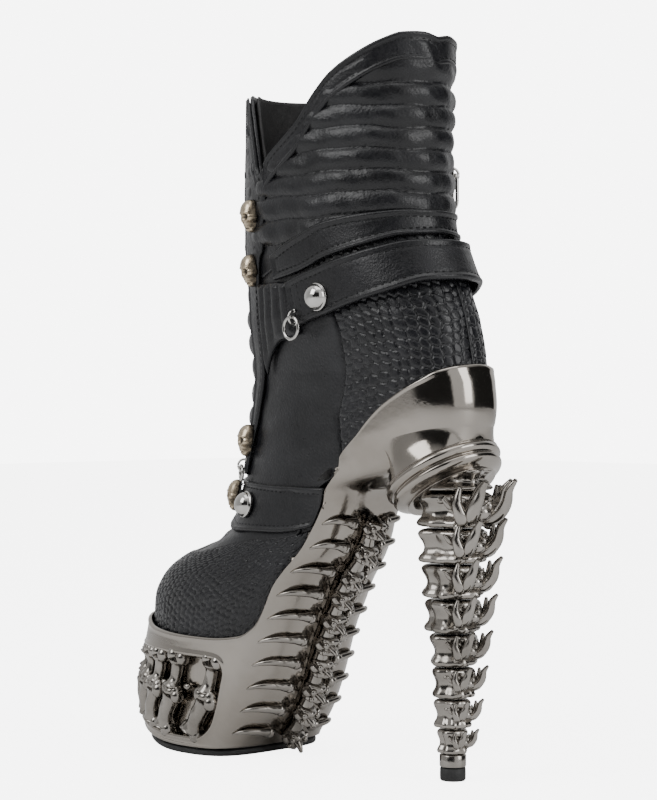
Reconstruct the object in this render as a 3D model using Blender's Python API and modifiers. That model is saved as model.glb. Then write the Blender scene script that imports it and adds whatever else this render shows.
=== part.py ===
"""Gothic platform ankle boot: plated bone sole and heel, leather upper with harness straps.

Metres, +Z up. The toe points to -Y, the heel to +Y, the outer side is +X and z = 0 is the ground.
The upper, the sole unit and the straps all follow one last surface, given by horizontal stations.
"""
import math

import bmesh
import bpy
from mathutils import Matrix, Vector

MM = 0.001
CENTRE_Y = -2.2                  # moves the last so that the boot's box is centred on the origin

# The last's horizontal stations: height, front, back, half width, y of the widest point,
# and the roundness (superellipse power) of the front and of the back half. Millimetres.
STATIONS = (
    (0, -100, -31, 38, -64, 2.3, 3.6),
    (4, -109, -28, 40, -63, 2.3, 3.6),
    (20, -112, -16, 41, -60, 2.3, 3.6),
    (40, -112.5, -6, 41.5, -56, 2.3, 3.4),
    (57, -110.5, 0, 41, -48, 2.3, 3.3),
    (66, -109, 4, 40.5, -42, 2.4, 3.2),
    (76, -107.5, 9, 40.5, -36, 2.5, 3.2),
    (86, -103, 14, 40, -32, 2.4, 3.3),
    (94, -95, 20, 38.5, -26, 2.3, 3.4),
    (100, -84, 25, 36.5, -20, 2.2, 3.4),
    (105, -69, 28, 35, -14, 2.1, 3.4),
    (110, -58, 30, 34, -8, 2.1, 3.4),
    (118, -50, 33.5, 32, -2, 2.1, 3.4),
    (132, -47, 43, 30.5, 4, 2.1, 3.4),
    (143, -46, 74, 30, 10, 2.1, 3.2),
    (150, -45, 85, 30, 14, 2.1, 3.0),
    (160, -44, 101, 30, 22, 2.1, 2.8),
    (164, -43.5, 104.5, 30, 25, 2.1, 2.7),
    (172, -43, 105.5, 30, 29, 2.1, 2.7),
    (183, -42, 104.5, 30.5, 34, 2.1, 2.6),
    (194, -41.5, 101, 31, 36, 2.1, 2.6),
    (205, -41, 97.5, 31.5, 36, 2.1, 2.5),
    (223, -40, 91, 32.5, 32, 2.1, 2.3),
    (240, -39.5, 83, 34, 27, 2.1, 2.2),
    (255, -39, 77.5, 35, 22, 2.1, 2.1),
    (275, -38, 75.5, 36, 20, 2.1, 2.1),
    (305, -37, 75.5, 36.5, 20, 2.1, 2.1),
    (345, -36, 76, 37, 20, 2.1, 2.1),
)

# Edges and seams: height in millimetres against the angle round the last in degrees,
# from 0 at the front over 90 at the side to 180 at the back. Both sides are alike.
FEATHER = ((0, 67), (30, 65), (60, 60.5), (90, 59), (115, 61), (128, 68), (132, 80),
           (134.5, 120), (137, 160), (141, 174), (150, 185), (165, 190), (180, 192))
SHELL_TOP = ((0, 67), (30, 65), (60, 60.5), (90, 59), (115, 61), (125, 66), (128, 74), (129.5, 106),
             (130.5, 135), (131.5, 158), (133.5, 170), (137, 178), (143, 184.5), (150, 188.5),
             (165, 191), (180, 192))
# How far the plated shell's front edge swings forward, in degrees, at each height of the cup.
SHELL_SWEEP = ((112, 0), (124, -1), (132, -8), (140, -20), (150, -26), (160, -26), (170, -24),
               (178, -19), (184, -12), (190, -5), (194, 0))
VAMP_SEAM = ((0, 101), (45, 101.5), (80, 107), (120, 112), (136, 114))
QUARTER_TOP = ((41, 229), (66, 236.5), (88, 243.5), (93, 245), (94.5, 200), (96, 172), (104, 153),
               (118, 148.5), (136, 147))
SHAFT_SEAM = ((41, 229), (66, 237), (90, 245), (108, 250), (135, 254), (160, 256), (180, 257))
TOP_EDGE = ((0, 325), (30, 325), (42, 321), (50, 311), (57, 297), (63, 284), (75, 292.5),
            (90, 303), (103, 318), (112, 326.5), (128, 335.5), (142, 341), (154, 344),
            (168, 344.5), (180, 343))
BAND_TOP = ((66, 243), (90, 252.6), (108, 258.5), (135, 261.5), (160, 262.6), (180, 262.6))
BAND_LOW = ((66, 231.8), (85, 235.5), (100, 241), (125, 246), (150, 250), (180, 251.4))
STRAP_TOP = ((77, 231), (90, 235.5), (105, 239.5), (130, 244), (155, 246.5), (180, 246.5))
STRAP_LOW = ((77, 209), (90, 214), (105, 218.7), (130, 224), (155, 227.7), (180, 228))
INSTEP_TOP = ((0, 137), (40, 136), (90, 134), (131, 133))
INSTEP_LOW = ((0, 116.5), (30, 116.2), (42, 114), (60, 112), (90, 112), (131, 115))
GATHER_LOW = ((52, 186), (58, 196), (66, 203), (75, 206))
PLACKET_LOW = ((36, 138), (44, 138), (47, 163), (53.5, 224), (62, 250), (69, 272))
# The footbed's slope: y against height, both in millimetres.
FOOTBED = ((62, -26), (68, -16), (78, -5), (90, 4), (105, 15), (120, 22.5), (135, 31), (150, 43),
           (164, 57), (175, 72), (181, 84))

# Layers of the upper, as distances out from the leather's outer face.
SKIN = (-1.4, 0.0)
LINING = (-4.4, -3.2)
STIFFENER = (-2.7, -2.1)
OVERLAY = (0.9, 2.0)
STRAP = (2.3, 4.3)
STRAP_STAND = 2.5                # how much further the loose ankle strap stands off at the back
TUCK = 2.8                       # the leather goes behind the plated shell by this much
SHELL_WALL = 1.3

SOLE_TOP = 59.0
OUTSOLE_THICKNESS = 3.0
TOE_SPRING = 11.0
HEEL_Y = 87.0
HEEL_TOP = 150.0
HEEL_TIP_HEIGHT = 6.0
HEEL_TIP_RADIUS = 6.0
VERTEBRAE = 9
PIN_RADIUS = 2.6
COLLAR_TILT = math.radians(32.0)
COLLAR_Y = 80.0
COLLAR_Z = 143.0
COLLAR_DEPTH = 12.0

WINDOW_ANGLE = 112.0
WINDOW_LOW = 11.0
WINDOW_HIGH = 47.0

ZIP_ANGLE = 228.0
ZIP_LOW = 200.0
SLIDER_Z = 283.0
SLIDER_OFFSET = 1.2
SLIDER_PIVOT = 3.6               # the pull's hinge above the slider's underside

# Studs: height, angle and offset of the seat; rings also have their radius.
DOMES = (("ankle", 223.0, 92.0, 4.7), ("instep", 124.0, 62.0, 3.0))
SKULLS = ((264.0, 56.0, 2.2), (238.0, 49.0, 2.2), (155.0, 41.5, 2.5), (127.5, 29.0, 3.0))
RINGS = (("ankle", 214.0, 80.0, 4.5, 5.2), ("instep", 142.6, 41.0, 1.9, 3.6))
RING_LIFT = 2.2

COLOURS = {
    "leather": ((0.028, 0.028, 0.032), 0.42, 0.0),
    "lining": ((0.020, 0.021, 0.026), 0.7, 0.0),
    "plated": ((0.52, 0.49, 0.46), 0.16, 1.0),
    "pewter": ((0.50, 0.44, 0.34), 0.35, 1.0),
    "steel": ((0.6, 0.6, 0.62), 0.25, 1.0),
    "rubber": ((0.02, 0.02, 0.02), 0.7, 0.0),
    "board": ((0.45, 0.34, 0.22), 0.8, 0.0),
    "foam": ((0.1, 0.1, 0.1), 0.9, 0.0),
    "tape": ((0.015, 0.015, 0.017), 0.8, 0.0),
}

PARTS = bpy.data.collections.new("platform_ankle_boot")
CUTTERS = bpy.data.collections.new("cutters")


def clear_scene():
    for item in list(bpy.data.objects):
        bpy.data.objects.remove(item, do_unlink=True)
    bpy.context.scene.collection.children.link(PARTS)
    bpy.context.scene.collection.children.link(CUTTERS)


def smooth_curve(points, value):
    """Value of a monotone cubic through points, held level past its two ends."""
    count = len(points)
    if value <= points[0][0]:
        return points[0][1]
    if value >= points[-1][0]:
        return points[-1][1]
    rises = [(points[i + 1][1] - points[i][1]) / (points[i + 1][0] - points[i][0])
             for i in range(count - 1)]
    index = max(i for i in range(count - 1) if points[i][0] <= value)

    def slope(i):
        if i == 0 or i == count - 1:
            return rises[min(i, count - 2)]
        before, after = rises[i - 1], rises[i]
        if before * after <= 0.0:
            return 0.0
        return 2.0 * before * after / (before + after)

    width = points[index + 1][0] - points[index][0]
    t = (value - points[index][0]) / width
    start, end = points[index][1], points[index + 1][1]
    return ((2 * t**3 - 3 * t**2 + 1) * start + (t**3 - 2 * t**2 + t) * width * slope(index)
            + (3 * t**2 - 2 * t**3) * end + (t**3 - t**2) * width * slope(index + 1))


def fold(angle):
    """The angle of the same place on the outer side, 0 to 180 degrees."""
    angle = abs(angle) % 360.0
    return 360.0 - angle if angle > 180.0 else angle


def edge(points, lift=0.0):
    """An edge line as a function of the angle round the last."""
    return lambda angle: smooth_curve(points, fold(angle)) + lift


def skin_depth(height):
    """How far the leather lies inside the last surface: tucked in at the foot, flush above."""
    return -TUCK * (1.0 - smooth_curve(((188, 0.0), (214, 1.0)), height))


def last_point(height, angle, offset=0.0):
    """Point of the last surface at a height and angle, moved out level by offset."""
    columns = [smooth_curve([(row[0], row[k]) for row in STATIONS], height) for k in range(1, 7)]
    front, back, half, widest, power_front, power_back = columns
    sine = math.sin(math.radians(angle))
    cosine = math.cos(math.radians(angle))
    power = 2.0 / (power_front if cosine > 0.0 else power_back)
    reach = (widest - front if cosine > 0.0 else back - widest) + offset
    x = (half + offset) * math.copysign(abs(sine) ** power, sine)
    y = widest - reach * math.copysign(abs(cosine) ** power, cosine)
    return Vector((x, y + CENTRE_Y, height)) * MM


def skin_point(height, angle, offset=0.0):
    return last_point(height, angle, offset + skin_depth(height))


def lining_point(height, angle, offset=0.0):
    """The lining lies a little deeper in the bend of the instep, where the leather turns up."""
    bend = smooth_curve(((84, 0.0), (103, 1.5), (128, 1.5), (152, 0.0)), height)
    return skin_point(height, angle, offset - bend)


def frame_at(height, angle, offset, upright=False):
    """Matrix at a place on the surface: Z out of it, Y up along it, X level along it.

    upright keeps Y plumb, for a piece that hangs.
    """
    place = skin_point(height, angle, offset)
    side = skin_point(height, angle + 1.0, offset) - skin_point(height, angle - 1.0, offset)
    up = skin_point(height + 1.0, angle, offset) - skin_point(height - 1.0, angle, offset)
    normal = side.cross(up)
    if upright:
        normal.z = 0.0
    normal.normalize()
    across = Vector((0.0, 0.0, 1.0)).cross(normal).normalized()
    turn = Matrix((across, normal.cross(across), normal)).transposed().to_4x4()
    return Matrix.Translation(place) @ turn


def material(kind, name):
    colour, roughness, metallic = COLOURS[kind]
    made = bpy.data.materials.new(name)
    made.use_nodes = True
    shader = made.node_tree.nodes["Principled BSDF"]
    shader.inputs["Base Color"].default_value = (*colour, 1.0)
    shader.inputs["Roughness"].default_value = roughness
    shader.inputs["Metallic"].default_value = metallic
    return made


def add_mesh(name, bm, kind, matrix=None, collection=None):
    """New object from a bmesh; its faces are turned outward."""
    bmesh.ops.recalc_face_normals(bm, faces=bm.faces)
    mesh = bpy.data.meshes.new(name)
    bm.to_mesh(mesh)
    bm.free()
    made = bpy.data.objects.new(name, mesh)
    if matrix is not None:
        made.matrix_world = matrix
    (collection or PARTS).objects.link(made)
    mesh.materials.append(material(kind, name))
    return made


def hide_cutter(cutter):
    cutter.hide_render = True
    cutter.display_type = "WIRE"


def boolean(target, tool, operation):
    hide_cutter(tool)
    step = target.modifiers.new("boolean_" + tool.name, "BOOLEAN")
    step.operation = operation
    step.object = tool


def spread(start, end, count):
    return [start + (end - start) * i / (count - 1) for i in range(count)]


def shell_piece(name, angles, low, high, inner, outer, rows, kind, point=skin_point,
                closed=False, collection=None, crowd=1.0):
    """A piece of the boot's shell between two edge lines, two angles and two offsets.

    inner and outer are offsets or functions of the angle; closed joins the last angle to the
    first, for a piece that goes all the way round; crowd over 1 packs the rows to the low edge.
    """
    low = low if callable(low) else (lambda angle, level=low: level)
    high = high if callable(high) else (lambda angle, level=high: level)
    inner = inner if callable(inner) else (lambda angle, level=inner: level)
    outer = outer if callable(outer) else (lambda angle, level=outer: level)
    bm = bmesh.new()
    grids = []
    for depth in (outer, inner):
        grid = []
        for angle in angles:
            bottom, top = low(angle), high(angle)
            heights = [bottom + (top - bottom) * (k / (rows - 1)) ** crowd for k in range(rows)]
            grid.append([bm.verts.new(point(height, angle, depth(angle))) for height in heights])
        grids.append(grid)
    skin, back = grids
    count = len(angles)
    steps = range(count if closed else count - 1)
    for i in steps:
        j = (i + 1) % count
        for k in range(rows - 1):
            bm.faces.new((skin[i][k], skin[j][k], skin[j][k + 1], skin[i][k + 1]))
            bm.faces.new((back[i][k], back[i][k + 1], back[j][k + 1], back[j][k]))
        bm.faces.new((skin[i][0], back[i][0], back[j][0], skin[j][0]))
        bm.faces.new((skin[i][-1], skin[j][-1], back[j][-1], back[i][-1]))
    if not closed:
        for i in (0, -1):
            for k in range(rows - 1):
                bm.faces.new((skin[i][k], skin[i][k + 1], back[i][k + 1], back[i][k]))
    return add_mesh(name, bm, kind, collection=collection)


def stack_piece(name, levels, kind, sections, collection=None):
    """Solid through closed rings of points. Its ends are capped straight across, side to side."""
    bm = bmesh.new()
    rings = [[bm.verts.new(place) for place in sections(level)] for level in levels]
    count = len(rings[0])
    for lower, upper in zip(rings, rings[1:]):
        for i in range(count):
            j = (i + 1) % count
            bm.faces.new((lower[i], lower[j], upper[j], upper[i]))
    for ring in (rings[0], rings[-1]):
        bm.faces.new((ring[0], ring[1], ring[-1]))
        for i in range(1, count // 2 - 1):
            bm.faces.new((ring[i], ring[i + 1], ring[count - i - 1], ring[count - i]))
        bm.faces.new((ring[count // 2 - 1], ring[count // 2], ring[count // 2 + 1]))
    return add_mesh(name, bm, kind, collection=collection)


def turned(name, profile, kind, matrix, steps=16, collection=None):
    """Turned solid: profile of (radius, height) in millimetres, run down its outer side."""
    mesh = bpy.data.meshes.new(name)
    points = [(radius * MM, 0.0, height * MM) for radius, height in profile]
    ring = profile[0][0] > 0.0
    edges = [(i, i + 1) for i in range(len(points) - 1)]
    if ring:
        edges.append((len(points) - 1, 0))
    mesh.from_pydata(points, edges, [])
    made = bpy.data.objects.new(name, mesh)
    made.matrix_world = matrix
    (collection or PARTS).objects.link(made)
    mesh.materials.append(material(kind, name))
    screw = made.modifiers.new("turn", "SCREW")
    screw.steps = steps
    screw.render_steps = steps
    screw.use_merge_vertices = True
    screw.merge_threshold = 0.00002
    screw.use_smooth_shade = True
    return made


def tube(name, points, radius, kind, matrix=None, cyclic=False, sides=2, collection=None):
    """Round wire along points in millimetres."""
    curve = bpy.data.curves.new(name, "CURVE")
    curve.dimensions = "3D"
    curve.bevel_depth = radius * MM
    curve.bevel_resolution = sides
    curve.use_fill_caps = True
    line = curve.splines.new("POLY")
    line.points.add(len(points) - 1)
    for item, place in zip(line.points, points):
        item.co = (*[value * MM for value in place], 1.0)
    line.use_cyclic_u = cyclic
    made = bpy.data.objects.new(name, curve)
    if matrix is not None:
        made.matrix_world = matrix
    (collection or PARTS).objects.link(made)
    curve.materials.append(material(kind, name))
    return made


def tube_mesh(name, points, radius, kind, matrix=None, collection=None):
    """The same wire as a welded mesh, for a Boolean."""
    wire = tube(name + "_wire", points, radius, kind, matrix, sides=1, collection=collection)
    bpy.context.view_layer.update()
    graph = bpy.context.evaluated_depsgraph_get()
    mesh = bpy.data.meshes.new_from_object(wire.evaluated_get(graph))
    bm = bmesh.new()
    bm.from_mesh(mesh)
    bmesh.ops.remove_doubles(bm, verts=bm.verts, dist=0.00001)
    made = add_mesh(name, bm, kind, wire.matrix_world.copy(), collection)
    bpy.data.objects.remove(wire, do_unlink=True)
    return made


def arc(radius, start, end, count, centre=(0.0, 0.0)):
    """Points of an arc in the XY plane, angles in degrees."""
    return [(centre[0] + radius * math.cos(math.radians(a)),
             centre[1] + radius * math.sin(math.radians(a)), 0.0)
            for a in spread(start, end, count)]


RING_ANGLES = [i * 10.0 for i in range(36)]
STEEP_ANGLES = [132, 133, 133.8, 134.5, 135.1, 135.7, 136.3, 137, 138.6, 141]
SHELL_SIDE = [0, 15, 30, 45, 60, 75, 90, 102, 114, 122, 126, 128, 128.7, 129.2, 129.7, 130.2, 130.7,
              131.2, 132, 133.5, 137, 143, 150, 160, 170]
SHELL_ANGLES = SHELL_SIDE + [180.0] + [360.0 - a for a in SHELL_SIDE[:0:-1]]


def toe_lift(y):
    """Toe spring: how far the sole's underside curls up towards the toe."""
    t = min(max((-60.0 - y / MM) / 52.0, 0.0), 1.0)
    return TOE_SPRING * t * t * MM


def sprung(place):
    """A sole point curled up by the toe spring, fading out at the platform's top."""
    fade = min(max(1.0 - place.z / (SOLE_TOP * MM), 0.0), 1.0)
    return Vector((place.x, place.y, place.z + toe_lift(place.y) * fade))


def sole_point(height, angle, offset=0.0):
    return sprung(last_point(height, angle, offset))


def cup_angle(height, angle):
    """The angle moved forward where the heel cup wraps round the sides."""
    place = fold(angle)
    shift = smooth_curve(SHELL_SWEEP, height) * min((180.0 - place) / 50.0, 1.0)
    return angle + shift if angle % 360.0 <= 180.0 else angle - shift


def cup_point(height, angle, offset=0.0):
    return sole_point(height, cup_angle(height, angle), offset)


def strap_point(height, angle, offset=0.0):
    """The instep strap, cut short where the shell's edge crosses it."""
    limit = 128.5 + smooth_curve(SHELL_SWEEP, height)
    return skin_point(height, angle * limit / 129.0, offset)


def make_outsole():
    def ring(level):
        places = [last_point(2.0, angle, 0.6 if level > 0.5 else 0.0) for angle in RING_ANGLES]
        return [sprung(Vector((place.x, place.y, level * MM))) for place in places]
    return stack_piece("outsole", (0.0, OUTSOLE_THICKNESS), "rubber", ring)


def make_platform_shell():
    bottom = OUTSOLE_THICKNESS + 0.4
    shell = shell_piece("platform_shell", SHELL_ANGLES, bottom, edge(SHELL_TOP), -SHELL_WALL, 0.0,
                        22, "plated", point=cup_point, closed=True)
    window = shell_piece("window_cutter", spread(-WINDOW_ANGLE, WINDOW_ANGLE, 23), WINDOW_LOW,
                         WINDOW_HIGH, -6.0, 4.0, 3, "plated", point=sole_point,
                         collection=CUTTERS)
    boolean(shell, window, "DIFFERENCE")
    return shell


def make_platform_filler():
    def ring(level):
        depth = -SHELL_WALL - 0.5
        if WINDOW_LOW - 4.0 < level < WINDOW_HIGH + 4.0:
            depth = -7.5
        return [sole_point(level, angle, depth) for angle in RING_ANGLES]
    levels = (OUTSOLE_THICKNESS + 0.6, WINDOW_LOW - 4.2, WINDOW_LOW - 3.8, 30.0,
              WINDOW_HIGH + 3.8, WINDOW_HIGH + 4.2, SOLE_TOP - 4.6)
    return stack_piece("platform_filler", levels, "foam", ring)


def make_bone_insert():
    return shell_piece("bone_insert", spread(-WINDOW_ANGLE + 1.0, WINDOW_ANGLE - 1.0, 23),
                       WINDOW_LOW + 0.6, WINDOW_HIGH - 0.6, -6.5, -2.0, 3, "plated",
                       point=sole_point)


def make_rib_spine():
    """Spine down the middle of the shank, with a pair of ribs at each level."""
    spine = shell_piece("rib_spine", spread(171.0, 189.0, 3), 8.0, 121.0, 1.2, 7.0, 14, "plated",
                        point=last_point)
    levels = [14.0 + 11.5 * i for i in range(9)]
    for number, level in enumerate(levels):
        for side in (1.0, -1.0):
            route = []
            for step in range(7):
                t = step / 6.0
                place = last_point(level + 9.0 * t * t, 180.0 - side * (7.0 + 40.0 * t), 3.5)
                route.append(tuple(value / MM for value in place))
            rib = tube_mesh("rib_%d_%s" % (number, "outer" if side > 0 else "inner"), route, 1.9,
                            "plated", collection=CUTTERS)
            boolean(spine, rib, "UNION")
    return spine


def collar_frame(drop=0.0):
    """The tilted plane on which the heel cup sits, moved down its own axis by drop."""
    return (Matrix.Translation((0.0, (COLLAR_Y + CENTRE_Y) * MM, COLLAR_Z * MM))
            @ Matrix.Rotation(COLLAR_TILT, 4, "X") @ Matrix.Translation((0.0, 0.0, -drop * MM)))


def make_heel_column():
    """Nine drum-shaped vertebrae on one axis, bored for the steel pin, with horns behind."""
    foot = HEEL_TIP_HEIGHT + 0.4
    ferrule = HEEL_TIP_HEIGHT + 6.0
    levels = [ferrule + (HEEL_TOP - ferrule) * (1.0 - i / VERTEBRAE) ** 1.12
              for i in range(VERTEBRAE + 1)]
    profile = []
    for i in range(VERTEBRAE):
        top, low = levels[i], levels[i + 1]
        radius = 6.4 + 12.6 * (1.0 - i / VERTEBRAE) ** 1.15
        tall = top - low
        profile += [(radius, top - 0.04 * tall), (radius * 0.96, top - 0.2 * tall),
                    (radius * 0.76, top - 0.5 * tall), (radius * 0.9, low + 0.06 * tall)]
    bore = PIN_RADIUS + 0.4
    profile += [(6.2, ferrule - 0.4), (6.2, foot), (bore, foot), (bore, levels[0])]
    axis = Matrix.Translation((0.0, (HEEL_Y + CENTRE_Y) * MM, 0.0))
    column = turned("heel_column", profile, "plated", axis, 16)
    for i in range(VERTEBRAE):
        height = 0.5 * (levels[i] + levels[i + 1]) - (18.0 if i == 0 else 0.0)
        reach = 17.0 - 1.25 * i
        for side in (1.0, -1.0):
            middle = HEEL_Y + CENTRE_Y
            route = [(side * 0.30 * reach, middle + 0.42 * reach, height - 0.05 * reach),
                     (side * 0.50 * reach, middle + 1.05 * reach, height + 0.05 * reach),
                     (side * 0.58 * reach, middle + 1.45 * reach, height + 0.36 * reach),
                     (side * 0.58 * reach, middle + 1.62 * reach, height + 0.75 * reach)]
            horn = tube_mesh("horn_%d_%s" % (i, "outer" if side > 0 else "inner"), route,
                             0.13 * reach, "plated", collection=CUTTERS)
            boolean(column, horn, "UNION")
    block = bmesh.new()
    bmesh.ops.create_cube(block, size=0.12)
    bmesh.ops.translate(block, verts=block.verts, vec=(0.0, 0.0, 0.06))
    top_cut = add_mesh("column_top_cutter", block, "plated", collar_frame(COLLAR_DEPTH + 0.4),
                       CUTTERS)
    boolean(column, top_cut, "DIFFERENCE")
    return column


def make_heel_collar():
    """Oval seat of two rims between the heel cup and the column, tilted with the cup."""
    profile = [(0.0, 0.0), (26.6, 0.0), (28.2, -1.6), (28.0, -3.6), (26.2, -5.0), (26.9, -6.6),
               (26.0, -8.6), (23.4, -9.8), (20.5, -COLLAR_DEPTH), (0.0, -COLLAR_DEPTH)]
    return turned("heel_collar", profile, "plated", collar_frame(0.4), 24)


def make_heel_parts():
    axis = Matrix.Translation((0.0, (HEEL_Y + CENTRE_Y) * MM, 0.0))
    turned("heel_tip", [(0.0, HEEL_TIP_HEIGHT), (HEEL_TIP_RADIUS, HEEL_TIP_HEIGHT),
                        (HEEL_TIP_RADIUS, 0.0), (0.0, 0.0)], "rubber", axis, 20)
    turned("heel_pin", [(PIN_RADIUS, 116.0), (PIN_RADIUS, HEEL_TIP_HEIGHT + 0.5),
                        (1.5, HEEL_TIP_HEIGHT + 0.5), (1.5, 116.0)], "steel", axis, 12)


def inside_width(height, y, offset):
    """Half width of the last at a height, on a line across it at y."""
    columns = [smooth_curve([(row[0], row[k]) for row in STATIONS], height) for k in range(1, 7)]
    front, back, half, widest, power_front, power_back = columns
    power = power_front if y < widest else power_back
    reach = (widest - front if y < widest else back - widest) + offset
    share = min(abs(y - widest) / reach, 0.98)
    return (half + offset) * (1.0 - share ** power) ** (1.0 / power)


SHARES = (-1.0, -0.5, 0.0, 0.5, 1.0)


def footbed_strip(name, start, end, near, far, kind, width=None):
    """Sloping strip that follows the footbed, between two depths behind it."""
    def ring(height):
        line = smooth_curve(FOOTBED, height)
        half = width or inside_width(height, line + 6.0, -8.4)
        places = []
        for depth, order in ((near, SHARES), (far, SHARES[::-1])):
            for share in order:
                hollow = 0.0 if width else 1.2 * (1.0 - share * share)
                places.append(Vector((share * half, line + depth + hollow + CENTRE_Y, height)) * MM)
        return places
    return stack_piece(name, spread(start, end, 13), kind, ring)


def make_footbed():
    footbed_strip("sock_lining", 62.0, 181.0, 0.0, 3.0, "lining")
    footbed_strip("shank_board", 64.0, 179.0, 3.9, 5.6, "board")
    footbed_strip("steel_shank", 84.0, 152.0, 7.1, 8.3, "steel", 7.0)

    def ring(level):
        return [last_point(level, angle, -8.5) for angle in RING_ANGLES]
    stack_piece("forepart_board", (SOLE_TOP - 3.4, SOLE_TOP - 1.4), "board", ring)

    def seat(height):
        near = smooth_curve(FOOTBED, height) + 9.4
        far = smooth_curve([(row[0], row[2]) for row in STATIONS], height) - 12.0
        right = [(0.0, near), (inside_width(height, near, -10.0), near),
                 (inside_width(height, far, -10.0), far), (0.0, far)]
        outline = right + [(-x, y) for x, y in right[2:0:-1]]
        return [Vector((x, y + CENTRE_Y, height)) * MM for x, y in outline]
    stack_piece("heel_seat_block", spread(153.0, 173.0, 6), "foam", seat)


def mirrored(angles):
    return [360.0 - angle for angle in reversed(angles)]


def make_upper():
    toe = [-132, -128, -120, -110, -98, -86, -74, -62, -50, -38, -26, -13]
    toe = toe + [0] + [-angle for angle in reversed(toe)]
    shell_piece("vamp", toe, edge(FEATHER, -3.0), edge(VAMP_SEAM), *SKIN, 9, "leather")
    shell_piece("toe_puff", spread(-80, 80, 15), edge(FEATHER, 1.0), edge(VAMP_SEAM, -8.0),
                *STIFFENER, 6, "foam")
    side = [42.2, 50, 60, 70, 82, 91, 93, 94.5, 96, 100, 106, 114, 124, 131.2]
    back = ([angle + 0.8 for angle in side if angle > 92.0] + STEEP_ANGLES[4:]
            + [150, 160, 170, 179.6])

    def counter_low(angle):
        place = fold(angle)
        if place <= 134.4:
            return smooth_curve(QUARTER_TOP, place - 0.8) + 0.6
        return max(smooth_curve(FEATHER, place) - 2.5, 148.5)
    rear = [180.4, 190, 200, 210, 218, 221.4, 223, 224.6]
    shell_piece("quarter_outer", side, edge(VAMP_SEAM, 0.5), edge(QUARTER_TOP), *SKIN, 11,
                "leather", crowd=1.4)
    to_zip = mirrored([42.2, 50, 60, 70, 82, 94, 106, 116, 124, 128.4])
    shell_piece("quarter_inner", to_zip, edge(VAMP_SEAM, 0.5), edge(SHAFT_SEAM), *SKIN, 12,
                "leather", crowd=1.4)
    shell_piece("counter_outer", back, counter_low, edge(SHAFT_SEAM), *SKIN, 8, "leather")
    shell_piece("counter_inner", rear, counter_low, edge(SHAFT_SEAM), *SKIN, 8, "leather")
    shell_piece("counter_stiffener", spread(142, 218, 11), edge(FEATHER, 1.0), 222.0, *STIFFENER, 5,
                "foam")
    panel = [41.5, 46, 50, 54, 58, 63, 69, 76, 84, 92, 102, 112, 123, 134, 146, 158, 170, 180,
             190, 202, 214, 224.6]
    shell_piece("shaft_panel_outer", panel, edge(SHAFT_SEAM, 0.5), edge(TOP_EDGE), *SKIN, 7,
                "leather")
    panel = mirrored([angle for angle in panel if angle < 125.0] + [128.6])
    shell_piece("shaft_panel_inner", panel, edge(SHAFT_SEAM, 0.5), edge(TOP_EDGE), *SKIN, 7,
                "leather")
    front = spread(-40.6, 40.6, 9)
    shell_piece("front_panel", front, edge(VAMP_SEAM, 0.5), edge(TOP_EDGE), *SKIN, 15, "leather",
                crowd=1.7)

    shell_piece("vamp_lining", toe[::2], edge(FEATHER, 1.0), edge(VAMP_SEAM), *LINING, 9,
                "lining", point=lining_point)

    def lining_low(angle):
        place = fold(angle)
        return max(smooth_curve(VAMP_SEAM, place) + 0.6, smooth_curve(FEATHER, place) + 5.0)
    half = [0, 14, 28, 40, 52, 63, 73, 85, 98, 112, 124, 132, 133.8, 135.1, 136.3, 138.6, 150, 164]
    shell_piece("lining", half + [180] + mirrored(half[1:]), lining_low, edge(TOP_EDGE, -0.6),
                *LINING, 14, "lining", point=lining_point, closed=True, crowd=1.7)


def make_trim():
    column = [36, 40, 44, 45.5, 47, 50, 53.5, 58, 63, 68.5]
    band = [70.5, 80, 90, 103, 112, 128, 142, 154, 168, 180, 192, 206, 218, 224]
    rest = mirrored([angle for angle in band if angle < 120.0] + [128])
    strap = [77, 84, 92, 104, 118, 132, 146, 162]
    strap = strap + [180] + mirrored(strap)
    gather = [54, 58, 62, 66, 70, 75.5]
    for name, angles in (("outer", column), ("inner", mirrored(column))):
        shell_piece("placket_" + name, angles, edge(PLACKET_LOW), edge(TOP_EDGE, -0.5), *OVERLAY, 8,
                    "leather")
    for name, angles in (("outer", band), ("inner", rest)):
        shell_piece("collar_band_" + name, angles, edge(TOP_EDGE, -13.0), edge(TOP_EDGE), *OVERLAY,
                    2, "leather")
        shell_piece("ankle_band_" + name, angles, edge(BAND_LOW), edge(BAND_TOP), *OVERLAY, 2,
                    "leather")
    for name, angles in (("outer", gather), ("inner", mirrored(gather))):
        shell_piece("gathered_strap_" + name, angles, edge(GATHER_LOW), 230.0, 2.3, 3.9, 4,
                    "leather")

    def stand_off(distance):
        return lambda angle: distance + STRAP_STAND * max(fold(angle) - 90.0, 0.0) / 90.0
    shell_piece("ankle_strap", strap, edge(STRAP_LOW), edge(STRAP_TOP), stand_off(STRAP[0]),
                stand_off(STRAP[1]), 4, "leather")
    shell_piece("instep_strap", spread(-129, 129, 25), edge(INSTEP_LOW), edge(INSTEP_TOP),
                *OVERLAY, 4, "leather", point=strap_point)


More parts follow.
